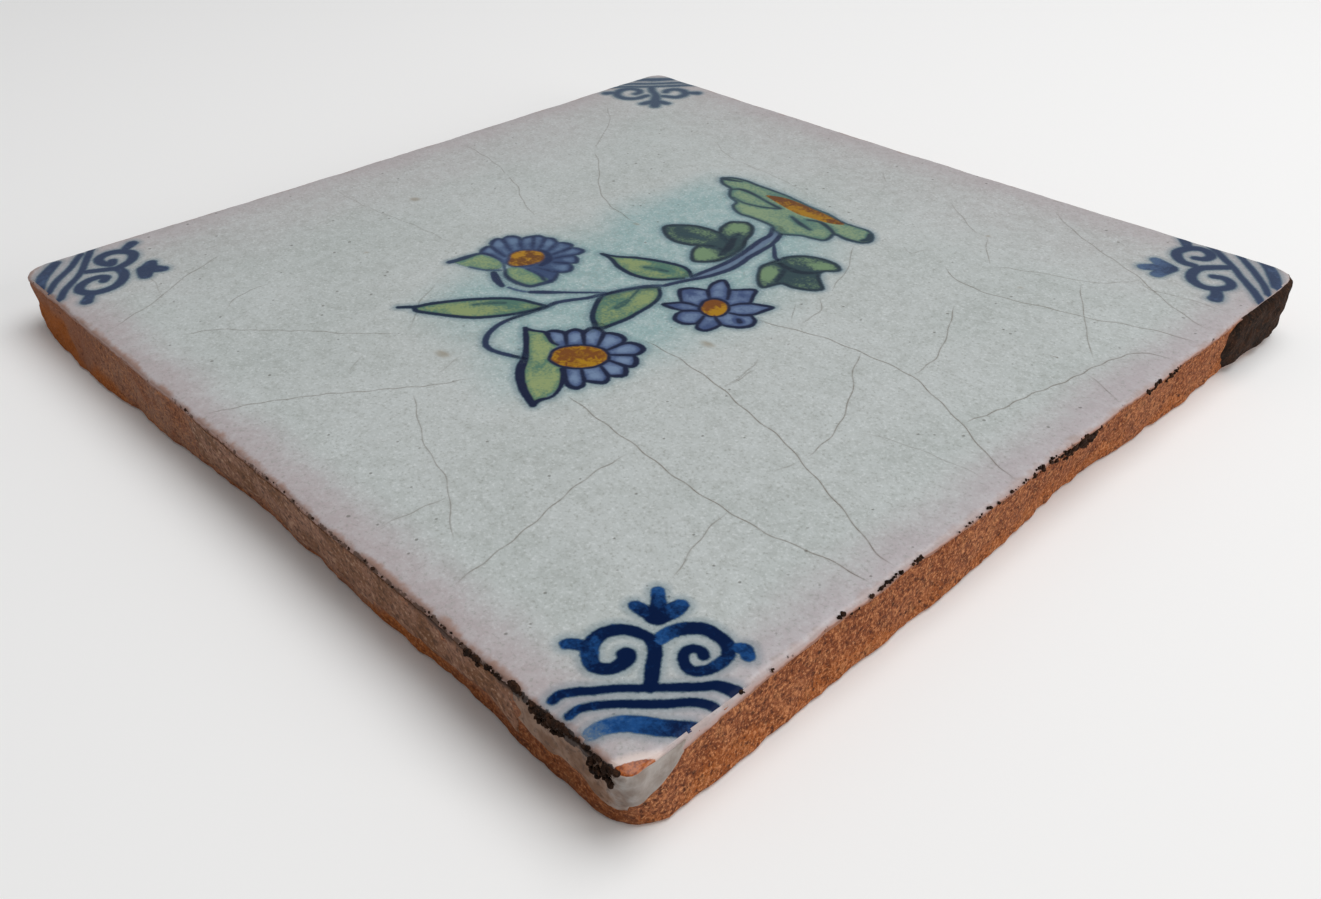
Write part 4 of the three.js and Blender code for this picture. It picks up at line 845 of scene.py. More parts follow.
# The stem: drawn first with a fine brush, as two lines with a thin wash between them above the
# leaves, and as one line below. A short branch leaves it for the left daisy.
stem_finish = paint_finish("stem_cobalt", ((48, 64, 98), (14, 28, 64)),
                           wash=((114, 130, 156), (76, 92, 126)), hold=0.95, soft=0.17, wash_hold=0.75)
stem_strokes = [
    brush([(2.65, 23.9), (3.9, 21.75), (4.2, 19.25), (5, 15.5), (5.5, 13), (5.8, 10.5), (5.8, 8),
           (5.6, 5.5), (5.5, 3.3)], [0.8, 1.0, 0.95, 0.8], [0.85, 1.0, 0.9]),
    brush([(5, 23), (5.8, 21.1), (6.4, 18.9), (6.7, 16.4), (7.0, 13.6), (7.5, 11.4), (7.7, 8.9),
           (7.4, 6.75), (7.0, 4.9), (6.1, 2.7), (5.3, 0.5), (4.7, -1.4)], [0.8, 0.95, 0.9, 0.8],
          [0.85, 1.0, 0.9]),
    brush([(4.7, -1.4), (3.2, -3), (2.6, -4), (2.1, -5.25), (1.5, -6.5), (0.9, -8.7), (0.4, -9.9),
           (-0.06, -11.5), (-1.3, -13.7), (-2.1, -15.6), (-2.1, -17.4), (-2.4, -19.6), (-2.8, -22.75),
           (-2.6, -25.25), (-1.5, -27.75), (0.25, -29.5), (1.8, -29.9), (3.7, -29.5), (5.6, -28.7),
           (6.8, -28.2)],
          [0.7, 0.8, 0.9, 0.8, 0.9, 0.8], [0.6, 0.8, 0.7, 0.8, 0.9, 0.8]),
    brush([(0.9, -8.4), (-0.2, -9.4), (-2.0, -11.2), (-4.1, -13.2), (-5.8, -14.9), (-7.0, -16.0)],
          [0.5, 0.55, 0.6, 0.7, 1.1, 0.8], [0.5, 0.6, 0.7, 0.95]),
    brush([(-7.6, -16.5), (-8.8, -17.0), (-10.3, -17.3)], 0.5, 0.3),
    brush([(-11.3, -17.7), (-13.2, -17.1), (-15.4, -16.0)], [0.9, 1.3, 1.0], 0.95),
    brush([(6.6, 19.6), (8.1, 18), (9.7, 16.4), (10.5, 16.1)], [0.5, 0.7, 0.8], 0.7),
]
stem_wash = shape([(3.6, 23.4), (4.9, 22.8), (5.9, 18.8), (6.7, 14), (7.4, 9), (7.0, 5.2), (5.6, 1.4),
                   (4.6, -1.0), (4.9, 1.2), (5.7, 4), (5.8, 9), (5.2, 14), (4.3, 19.4)])
paint_film("stem", stem_finish, "cobalt", ["stem_line", "stem_wash", "left_daisy_stem_dash"],
           stem_strokes, washes=[stem_wash])


# The three long leaves: a green wash with a dark drawn edge and a short thick vein, each made
# with one turn of the brush. The green has pooled into yellow and blue patches in the fire.
leaf_finish = paint_finish("leaf_green", ((50, 82, 78), (4, 28, 54)),
                           leaf=((130, 145, 92), (66, 104, 88)), soft=0.18)


def long_leaf(name, outline, strokes, tones):
    nodes = [f"{name}_{part}" for part in ("wash", "line", "vein")]
    paint_film(name, leaf_finish, "leaf_green", nodes, strokes, leaves=[shape(outline)], tones=tones)


leaf_edge = [(-9.2, -0.75), (-6.9, 0.2), (-4.4, 2.1), (-1.25, 3.6), (1.9, 4.6), (3.75, 4.4), (5.2, 3.5)]
leaf_under = [(5.0, 2.1), (3.4, -0.1), (1.6, -1.5), (-1.25, -2.2), (-4.4, -1.85), (-6.9, -0.9),
              (-9.2, -0.75)]
long_leaf("left_leaf", leaf_edge + leaf_under[:-1], [
    brush(leaf_edge, [0.6, 0.8, 0.8, 0.7], [0.7, 0.85, 0.8]),
    brush(leaf_under, [0.6, 0.8, 0.8, 0.6], [0.7, 0.9, 0.8]),
    brush([(-1.5, 0.7), (0.2, 1.4), (1.8, 2.0)], [0.6, 1.0, 0.7], 0.3),
], tones=[(1.0, 2.6, 2.5, 1.2, 0.35), (-4, 0.4, 2.4, 1.2, -0.25), (3.4, 2.2, 1.2, 1.2, 0.2)])
leaf_edge = [(4.5, -2.3), (3.4, -3.5), (2.2, -5.5), (1.4, -7.5), (0.9, -9.2), (1.3, -10.6),
             (2.75, -12.75), (4.6, -14.8), (6.5, -16), (6.9, -16.5)]
leaf_under = [(6.9, -16.5), (7.75, -15.7), (7.9, -14.3), (8.1, -11.8), (7.9, -9.6), (7.6, -7.1),
              (7.1, -5.25), (6.1, -3.6), (4.5, -2.3)]
long_leaf("middle_leaf", leaf_edge + leaf_under[1:-1], [
    brush(leaf_edge, [0.6, 0.8, 0.8, 0.9], [0.7, 0.85, 0.95]),
    brush(leaf_under, [0.9, 0.8, 0.7, 0.6], [0.95, 0.8, 0.7]),
    brush([(2.9, -4.6), (3.6, -6.1), (4.1, -7.4)], 0.4, 0.45),
    brush([(4.3, -8), (4.6, -9.3), (4.8, -10.6)], [0.7, 1.1, 0.8], 0.32),
], tones=[(3.0, -9.5, 1.3, 1.6, 0.35), (5.6, -6.2, 1.6, 1.8, -0.3), (6.4, -13, 1.4, 2.0, 0.1)])
leaf_edge = [(-2.25, -17.1), (-4.1, -17.75), (-6, -18.4), (-8.2, -19.9), (-10.4, -22.4), (-12.6, -25.6),
             (-14, -28.1), (-14.6, -29.8), (-15.6, -31.1), (-16.2, -31.8)]
leaf_under = [(-14.4, -30.4), (-13.5, -30.6), (-11.6, -29.6), (-9.1, -28.1), (-6.6, -26.2),
              (-4.75, -23.7), (-3.5, -21.5), (-2.7, -19.3), (-2.25, -17.1)]
long_leaf("lower_leaf", leaf_edge[:8] + leaf_under[1:-1], [
    brush(leaf_edge, [0.7, 0.8, 0.8, 0.9, 0.8], [0.7, 0.8, 0.9]),
    brush(leaf_under, [0.8, 0.8, 0.7], [0.9, 0.85, 0.7]),
    brush([(-7.0, -20.6), (-8.2, -21.8), (-9.6, -24.0)], [0.7, 0.9, 0.6], 0.3),
], tones=[(-5.8, -20.2, 2.6, 1.5, 0.4), (-9, -26, 2.6, 1.8, -0.3), (-7.2, -23.5, 1.6, 1.2, -0.1)])


# The two lobed leaves below the top flower: ivy-like, laid in with a dark green full brush over
# a paler one. Light patches are left where the first wash shows.
lobed_finish = paint_finish("lobed_leaf_green", ((40, 66, 74), (8, 28, 44)),
                            leaf=((106, 132, 94), (26, 50, 54)), hold=0.92, soft=0.24)
left_lobes = shape([(-1.6, 22.7), (-3.4, 21.1), (-3.1, 18.6), (-2.2, 17.1), (-4.4, 16.75), (-6.9, 15.8),
                    (-9.5, 13), (-7.5, 10.8), (-4.7, 10), (-2.2, 10.7), (-1.25, 11.4), (-0.6, 9.9),
                    (0.6, 8.3), (2.2, 7.2), (4.1, 8.9), (4.7, 10.8), (4.7, 13), (4.1, 15.5), (2.5, 18),
                    (1.6, 20.2), (0, 22.1)])
paint_film("left_lobed_leaf", lobed_finish, "dark_green",
           ["left_lobed_leaf_wash", "left_lobed_leaf_shade"],
           [brush(np.vstack([left_lobes[::4], left_lobes[:1]]), 0.7, [0.8, 1.0, 0.9, 1.0, 0.8]),
            brush([(0.4, 18.6), (1.2, 16.4), (2.6, 14.0), (3.4, 11.6)], [0.7, 1.2, 1.4, 0.8],
                  [0.5, 0.9, 0.6]),
            brush([(-1.9, 17.0), (-0.2, 16.0), (1.6, 15.2)], [0.6, 0.9, 0.8], 0.6),
            brush([(-1.2, 11.6), (0.6, 12.8), (2.4, 13.0)], [0.5, 0.8, 0.7], 0.55),
            brush([(-5.8, 12.6), (-3.8, 13.4), (-2.2, 13.6)], [0.5, 0.8, 0.5], 0.25)],
           leaves=[left_lobes],
           tones=[(-4.8, 13.4, 3.2, 2.2, 0.3), (1.6, 15.0, 2.6, 2.8, 0.75), (-1.2, 20.0, 1.6, 1.8, -0.35),
                  (1.25, 9.8, 1.8, 1.6, -0.8), (-7.4, 13.2, 1.2, 1.0, 0.35)])
right_lobes = shape([(10.5, 16.1), (10.9, 18), (12.5, 19.9), (14.4, 20.8), (16.9, 21), (18.6, 20.2),
                     (18.75, 19.25), (17.5, 18), (17.8, 16.4), (19.4, 14.9), (20.9, 13.5), (20, 12.1),
                     (17.8, 11), (15.9, 10.8), (15.3, 9.6), (14.7, 8), (13.1, 8.9), (11.25, 11.1),
                     (10.2, 13)])
paint_film("right_lobed_leaf", lobed_finish, "dark_green",
           ["right_lobed_leaf_wash", "right_lobed_leaf_shade"],
           [brush(np.vstack([right_lobes[::4], right_lobes[:1]]), 0.65, [0.8, 1.0, 0.8, 1.0, 0.8]),
            brush([(11.4, 15.4), (13.4, 15.0), (15.6, 15.4), (17.4, 17.2)], [0.8, 1.2, 1.1, 0.7],
                  [0.6, 0.8, 0.5]),
            brush([(13.2, 14.6), (14.2, 12.4), (14.9, 10.6)], [0.7, 0.9, 0.6], 0.6)],
           leaves=[right_lobes],
           tones=[(14.6, 14.6, 4.2, 4.0, 0.5), (16.6, 18.8, 2.2, 1.3, -0.5), (12.4, 11.6, 1.5, 1.9, -1.1),
                  (17.6, 13.2, 1.6, 1.2, 0.1)])


# The two daisies: narrow petals in a thin blue wash, each with a darker drawn edge, round an
# ochre heart blotched with iron red. A green cup holds each flower from below.
def outer_edge(petals):
    """The outline of a whole flower head, from the petals' outer edges in order."""
    return np.vstack([brush(points)[:, :2] for points in petals])


def head_strokes(petals, lines, heart, width, load):
    """The drawing of a flower head: a ring round its heart, its petals' edges and their lines."""
    ring = brush(np.vstack([heart[::6], heart[:1]]), 0.55, load[0])
    swelling = np.array([0.75, 1, 1.1, 1, 0.75]) * width
    edges = [brush(points, swelling, load) for points in petals]
    return [ring] + edges + [
        brush(points, [0.75, 0.5], [load[0], load[0] * 0.85]) for points in lines
    ]


def petal_tones(centre, petals, amount, share):
    """Lighter or darker middles, one to each petal."""
    middles = [np.mean(points, 0) * share + np.array(centre) * (1 - share) for points in petals]
    return [(x, y, 0.9, 0.9, amount) for x, y in middles]


daisy_finish = paint_finish("daisy_blue", ((38, 60, 98), (0, 16, 50)),
                            wash=((106, 126, 158), (46, 62, 106)),
                            leaf=((136, 150, 96), (74, 110, 88)),
                            heart=((154, 112, 0), (108, 60, 6)), soft=0.17)
lower_petals = [
    [(3.4, -21.9), (3.5, -21.3), (4.0, -20.7), (5.0, -20.3), (5.8, -20.6)],
    [(5.8, -20.6), (5.3, -19.7), (5.5, -18.7), (6.5, -18.4), (7.4, -18.9)],
    [(7.4, -18.9), (6.8, -18.0), (6.8, -16.7), (7.9, -16.3), (8.9, -16.6)],
    [(8.9, -16.6), (9.6, -15.9), (10.8, -15.5), (12.0, -15.8), (12.6, -16.8)],
    [(12.6, -16.8), (13.2, -15.9), (14.4, -15.5), (15.6, -15.9), (16.0, -17.0), (15.8, -17.8)],
    [(15.8, -17.8), (16.7, -18.2), (17.6, -19.1), (17.7, -19.9), (17.0, -20.4)],
    [(17.0, -20.4), (17.9, -21.1), (18.6, -22.0), (18.1, -22.8), (17.3, -23.5)],
    [(17.3, -23.5), (17.9, -24.2), (18.1, -25.0), (17.1, -25.8), (16.1, -26.4)],
    [(16.1, -26.4), (16.8, -27.3), (16.7, -28.3), (15.5, -28.5), (14.0, -27.7)],
]
lower_lines = [
    [(3.4, -21.9), (5.8, -23.0), (7.0, -23.0)], [(5.8, -20.6), (7.9, -22.2)],
    [(7.4, -18.9), (9.4, -20.5)], [(8.9, -16.6), (10.8, -19.4)], [(12.6, -16.8), (12.5, -19.2)],
    [(15.8, -17.8), (13.6, -19.9)], [(17.0, -20.4), (14.4, -20.9)], [(17.3, -23.5), (14.7, -22.5)],
    [(16.1, -26.4), (13.7, -24.8)], [(14.0, -27.7), (12.2, -26.2)],
]
lower_heart = shape([(8.8, -25.9), (7.9, -24.8), (7.7, -23.5), (8.2, -22.2), (9.1, -21.0), (10.5, -19.9),
                     (12.1, -19.5), (13.6, -20.0), (14.6, -21.3), (14.6, -22.7), (14.0, -24.2),
                     (12.9, -25.4), (11.5, -26.2), (10.1, -26.5)])
lower_cup = shape([(0.6, -23.2), (1.9, -22.8), (3.2, -22.1), (5.6, -22.8), (7.1, -23.1), (7.6, -24.8),
                   (8.8, -26.0), (10.3, -26.5), (11.8, -26.4), (13.3, -27.3), (14.5, -28.6),
                   (15.6, -30.7), (15.8, -32.5), (15.9, -34.5), (13.5, -33.7), (11.0, -32.4),
                   (8.7, -30.8), (7.3, -28.7), (5.1, -26.7), (2.7, -24.8)])
paint_film("lower_daisy", daisy_finish, "cobalt",
           [f"lower_daisy_{part}" for part in ("petals", "centre", "line", "cup")],
           head_strokes(lower_petals, lower_lines, lower_heart, 0.78, [0.85, 1.0, 0.9])
           + [brush([(0.5, -23.1), (2.8, -24.8), (5.1, -26.7), (6.8, -28.3), (8.2, -30.1), (10.1, -31.7),
                     (12.5, -33.1), (14.4, -33.9), (16.0, -34.5)],
                    [0.7, 0.9, 0.8, 1.0, 1.3, 1.3, 1.2, 1.1, 1.0], [0.8, 1.0, 1.1]),
              brush([(15.9, -34.4), (15.7, -33.2), (16.1, -31.9), (15.7, -30.4), (14.6, -28.7),
                     (13.3, -27.3), (12.1, -26.5)], [0.9, 0.6, 0.6, 0.9, 0.9], [1.0, 0.9, 0.9]),
              brush([(0.6, -23.2), (1.8, -22.8), (3.1, -22.0), (3.9, -22.1)], [0.7, 0.6, 0.9],
                    [0.8, 1.0])],
           washes=[np.vstack([outer_edge(lower_petals), lower_heart[::4]])], leaves=[lower_cup],
           hearts=[lower_heart],
           tones=petal_tones((11.2, -23.0), lower_petals, -0.3, 0.8)
           + [(9.6, -23.6, 1.4, 1.2, 0.35), (11.8, -21.4, 1.0, 0.8, 0.3), (13.4, -23.6, 1.0, 1.4, -0.5),
              (8.6, -25.2, 0.7, 0.8, -0.3), (6, -25.0, 1.8, 1.2, -0.2), (12.6, -30.5, 1.8, 1.8, -0.25),
              (9.6, -28.4, 1.4, 1.2, 0.25)])

soft_daisy_finish = paint_finish("soft_daisy_blue", ((48, 68, 104), (14, 30, 66)),
                                 wash=((88, 110, 142), (38, 56, 96)),
                                 leaf=((132, 150, 102), (82, 116, 98)),
                                 heart=((156, 112, 14), (98, 58, 12)), hold=0.9, soft=0.24)
left_petals = [
    [(-22.0, -13.4), (-22.7, -12.4), (-23.0, -11.3), (-22.5, -10.9)],
    [(-22.5, -10.9), (-23.7, -9.9), (-24.2, -8.6), (-23.5, -8.0)],
    [(-23.5, -8.0), (-23.7, -7.0), (-23.2, -6.2), (-22.1, -5.9), (-21.2, -6.4)],
    [(-21.2, -6.4), (-21.5, -5.2), (-21.0, -4.0), (-20.5, -3.3), (-19.3, -3.1)],
    [(-19.3, -3.1), (-18.2, -2.5), (-16.6, -2.9)],
    [(-16.6, -2.9), (-15.9, -2.2), (-14.6, -1.9), (-13.9, -2.6)],
    [(-13.9, -2.6), (-13.1, -2.1), (-11.8, -2.0), (-11.5, -3.1), (-11.7, -4.0)],
    [(-11.7, -4.0), (-10.5, -4.4), (-9.6, -5.3), (-10.0, -6.2)],
    [(-10.0, -6.2), (-8.9, -6.8), (-8.2, -7.7), (-8.4, -8.7), (-9.0, -9.3)],
    [(-9.0, -9.3), (-8.3, -10.2), (-7.6, -11.3), (-7.6, -12.3), (-8.7, -12.2)],
]
left_lines = [
    [(-22.5, -10.9), (-20.5, -11.3), (-18.5, -11.5)], [(-23.5, -8.0), (-21.2, -9.0), (-19.3, -9.7)],
    [(-21.2, -6.4), (-19.7, -7.5), (-18.5, -8.3)], [(-20.9, -4.1), (-19.1, -5.6), (-17.4, -7.2)],
    [(-19.3, -3.1), (-17.8, -5.0), (-16.6, -6.7)], [(-16.6, -2.9), (-15.8, -4.9), (-15.3, -6.5)],
    [(-13.9, -2.6), (-14.0, -5.0), (-14.2, -7.1)], [(-11.7, -4.0), (-12.6, -5.9), (-13.2, -7.6)],
    [(-10.0, -6.2), (-11.4, -7.2), (-12.8, -8.3)], [(-9.0, -9.3), (-10.8, -10.0), (-12.4, -10.6)],
    [(-8.7, -12.2), (-10.4, -11.7), (-12.7, -11.8)],
]
left_heart = shape([(-17.0, -12.2), (-18.4, -10.8), (-18.8, -9.2), (-18.0, -7.8), (-16.6, -6.6),
                    (-15.1, -6.8), (-13.6, -7.9), (-13.1, -9.4), (-14.0, -11.3), (-14.9, -12.6),
                    (-16.0, -12.9)])
right_cup = shape([(-13.6, -15.3), (-15.0, -14.0), (-14.8, -12.7), (-12.8, -12.0), (-10.3, -11.9),
                   (-8.3, -11.8), (-8.0, -13.2), (-8.3, -14.7), (-9.6, -15.4), (-11.4, -15.6)])
left_cup = shape([(-22.3, -17.9), (-22.3, -15.7), (-21.8, -13.8), (-19.9, -13.1), (-17.3, -13.1),
                  (-16.0, -14.2), (-16.5, -15.7), (-18.1, -16.9), (-19.8, -17.5)])
paint_film("left_daisy", soft_daisy_finish, "cobalt",
           [f"left_daisy_{part}" for part in ("petals", "centre", "line", "cup")],
           head_strokes(left_petals, left_lines, left_heart, 0.68, [0.6, 0.85, 0.7])
           + [brush([(-16.8, -6.5), (-15.0, -6.4), (-13.1, -7.7), (-12.5, -9.5)], [0.6, 0.9, 1.4, 0.9],
                    [0.7, 1.0]),
              brush([(-15.0, -14.2), (-13.6, -15.2), (-11.9, -15.6), (-10.0, -15.5), (-8.4, -14.9),
                     (-7.9, -13.3), (-7.6, -11.9)], [0.6, 0.8, 0.9, 0.9, 0.9, 1.1], [0.7, 0.9, 1.0]),
              brush([(-22.7, -18.4), (-22.4, -17.0), (-22.2, -15.0), (-21.7, -13.4), (-19.8, -12.7),
                     (-17.3, -12.9), (-15.4, -14.0)], [1.1, 1.2, 0.8, 0.6, 0.5, 0.5],
                    [1.1, 1.0, 0.8, 0.5, 0.5]),
              brush([(-19.3, -17.3), (-17.1, -16.4), (-15.4, -14.8)], 0.5, [0.45, 0.5])],
           washes=[np.vstack([outer_edge(left_petals), left_heart[::4]])],
           leaves=[right_cup, left_cup], hearts=[left_heart],
           tones=petal_tones((-15.7, -9.6), left_petals[:5], -0.3, 0.85)
           + petal_tones((-15.7, -9.6), left_petals[6:9], -0.15, 0.9)
           + [(-15.9, -8.4, 1.0, 0.6, 0.4), (-15.6, -10.6, 1.2, 0.7, 0.45), (-17.6, -9.8, 0.8, 1.2, -0.5),
              (-10.8, -10.4, 2.4, 1.6, 0.5), (-11.6, -6.5, 1.6, 1.6, 0.2), (-22.2, -16, 0.8, 1.5, 0.5)])


# The star flower: eight pointed petals in the same blue, with an ochre button that is burnt
# brown on its left half. One wide petal at the right holds a dark blot.
star_petals = [
    [(10.0, 1.9), (9.1, 3.7), (9.3, 5.6), (10.4, 5.3), (12.0, 4.1)],
    [(12.0, 4.1), (13.0, 5.2), (13.9, 6.3), (14.8, 6.5), (15.6, 5.1), (16.7, 3.2)],
    [(16.7, 3.2), (17.9, 3.8), (19.6, 4.5), (19.5, 3.1), (19.3, 1.6), (19.0, 0.8)],
    [(19.0, 0.8), (20.5, 0.0), (21.0, -1.4), (20.3, -2.8), (18.9, -3.7), (18.0, -4.0)],
    [(18.0, -4.0), (18.1, -5.2), (17.7, -6.7), (16.5, -6.9), (15.6, -5.9)],
    [(15.6, -5.9), (15.0, -6.8), (14.0, -7.4), (12.6, -7.2), (11.8, -5.9), (11.8, -4.8)],
    [(11.8, -4.8), (10.2, -5.3), (8.6, -5.4), (9.1, -4.4), (9.9, -3.2)],
    [(9.9, -3.2), (7.9, -1.6), (7.2, -0.6), (7.8, 0.6), (8.9, 1.4), (10.0, 1.9)],
]
star_lines = [
    [(10.0, 1.9), (11.0, 1.0), (11.9, 0.3)], [(12.0, 4.1), (12.9, 3.0), (13.7, 1.9)],
    [(16.7, 3.2), (15.8, 2.1), (15.3, 0.8)], [(19.0, 0.8), (18.0, -0.2), (16.6, -0.8)],
    [(18.0, -4.0), (16.9, -3.5), (16.0, -3.0)], [(15.6, -5.9), (15.2, -4.8), (14.8, -3.9)],
    [(11.8, -4.8), (12.6, -3.9), (13.4, -3.3)], [(9.9, -3.2), (11.0, -2.7), (12.4, -2.4)],
]
star_heart = shape([(12.8, -2.7), (12.0, -1.5), (11.9, -0.1), (12.4, 0.8), (13.5, 1.2), (14.9, 0.8),
                    (15.9, -0.2), (16.4, -1.5), (16.2, -2.7), (15.3, -3.4), (14.0, -3.5)])
paint_film("star_flower", daisy_finish, "cobalt",
           ["star_flower_petals", "star_flower_centre", "star_flower_line"],
           head_strokes(star_petals, star_lines, star_heart, 0.68, [0.85, 1.0, 0.9])
           + [brush([(18.7, -1.3), (19.3, -1.7)], [0.7, 0.9], 0.7)],
           washes=[outer_edge(star_petals)], hearts=[star_heart],
           tones=[(12.9, -0.6, 1.0, 1.6, 0.9), (15.3, -1.6, 1.1, 1.4, -0.8), (19.0, -1.5, 0.9, 0.7, 0.6),
                  (8.6, -0.3, 1.0, 1.0, 0.4), (14.2, 4.2, 0.9, 0.9, 0.35), (9.6, -4.4, 1.0, 0.8, 0.35),
                  (17.2, -5.4, 0.9, 0.9, 0.3)])


# The top flower: a wide bloom seen from its side, a thin green wash with folds drawn in a dark
# bluish green, and the ochre mouth of the flower as a flat lens below its upper edge.
bloom_finish = paint_finish("bloom_green", ((50, 80, 88), (14, 36, 56)),
                            leaf=((126, 146, 110), (76, 110, 98)),
                            heart=((148, 106, 4), (96, 54, 14)), hold=0.92, soft=0.26)
bloom = [(-16.6, 33.2), (-15.3, 34.4), (-12.8, 35), (-10.6, 34.9), (-7.5, 35), (-4.4, 35), (-1.9, 34.7),
         (1.9, 34.25), (5, 34.1), (7.5, 33.5), (9.4, 33.2), (11.25, 33.3), (13.1, 33.5), (14.7, 32.8),
         (15.8, 31.3), (15.9, 30.2), (15, 29.25), (12.8, 28.8), (10.6, 28.9), (10.9, 27.4), (10.8, 26.1),
         (9.4, 25.5), (7.5, 25), (5.9, 23.9), (4.7, 23.2), (3.1, 23.6), (1.6, 24.6), (-2.5, 24.7),
         (-4.4, 24.4), (-6.25, 25), (-7.5, 26), (-8.1, 27.4), (-10.3, 28.3), (-11.6, 29.6), (-12.5, 30.8),
         (-14.7, 31.4), (-15.9, 32.2)]
mouth = shape([(-6.6, 32.7), (-5.2, 33.6), (-3.2, 34.2), (0.2, 34.2), (4.6, 33.8), (9.4, 32.9),
               (7.6, 31.5), (4.4, 31.0), (1.9, 30.7), (-1.5, 31.3), (-4.7, 32.1)])
paint_film("top_flower", bloom_finish, "leaf_green",
           ["top_flower_petals", "top_flower_centre", "top_flower_line"],
           [brush(bloom + bloom[:1], [0.8, 0.6, 0.5, 0.5, 0.8, 0.6, 0.6, 0.6, 0.7],
                  [1.0, 0.7, 0.5, 0.8, 0.95, 0.6, 0.8, 0.6, 0.9]),
            brush([(-12.3, 30.3), (-11.2, 31.6), (-8.7, 31.7), (-4.5, 30.9), (-1.6, 30.4)],
                  [0.6, 0.9, 0.7, 0.6, 0.8],
                  [0.8, 0.7, 0.6, 0.9]),
            brush([(-9.7, 28.4), (-7.1, 28.0), (-4.2, 28.7), (-1.7, 30.1)], [0.5, 0.6, 0.6],
                  [0.5, 0.6, 0.7]),
            brush([(1.9, 29.2), (4.4, 28.2), (7.0, 27.5)], [0.6, 1.0, 0.6], 0.6),
            brush([(4.4, 30.1), (6.3, 30.8), (8.9, 29.9), (10.4, 29.0)], [0.6, 0.9, 0.7], [0.6, 0.8]),
            brush([(-16.3, 33.0), (-14.6, 33.6), (-13.2, 34.2)], [1.2, 0.8, 0.5], [1.0, 0.6]),
            brush([(14.4, 32.6), (15.3, 31.2), (15.0, 30.1)], [0.8, 1.3, 0.9], 1.0)],
           leaves=[shape(bloom)], hearts=[mouth],
           tones=[(-4.5, 33.2, 2.2, 0.8, 0.7), (1.5, 34.0, 6.0, 0.5, 0.5), (3.0, 31.6, 3.6, 0.7, -0.7),
                  (7.8, 32.4, 1.4, 0.6, 0.4), (-12, 33.3, 3, 1.2, -0.1), (-3, 26.6, 4, 1.4, -0.25),
                  (12.6, 31, 2.2, 1.4, -0.1), (4.8, 29.0, 2.5, 1.2, 0.3)])


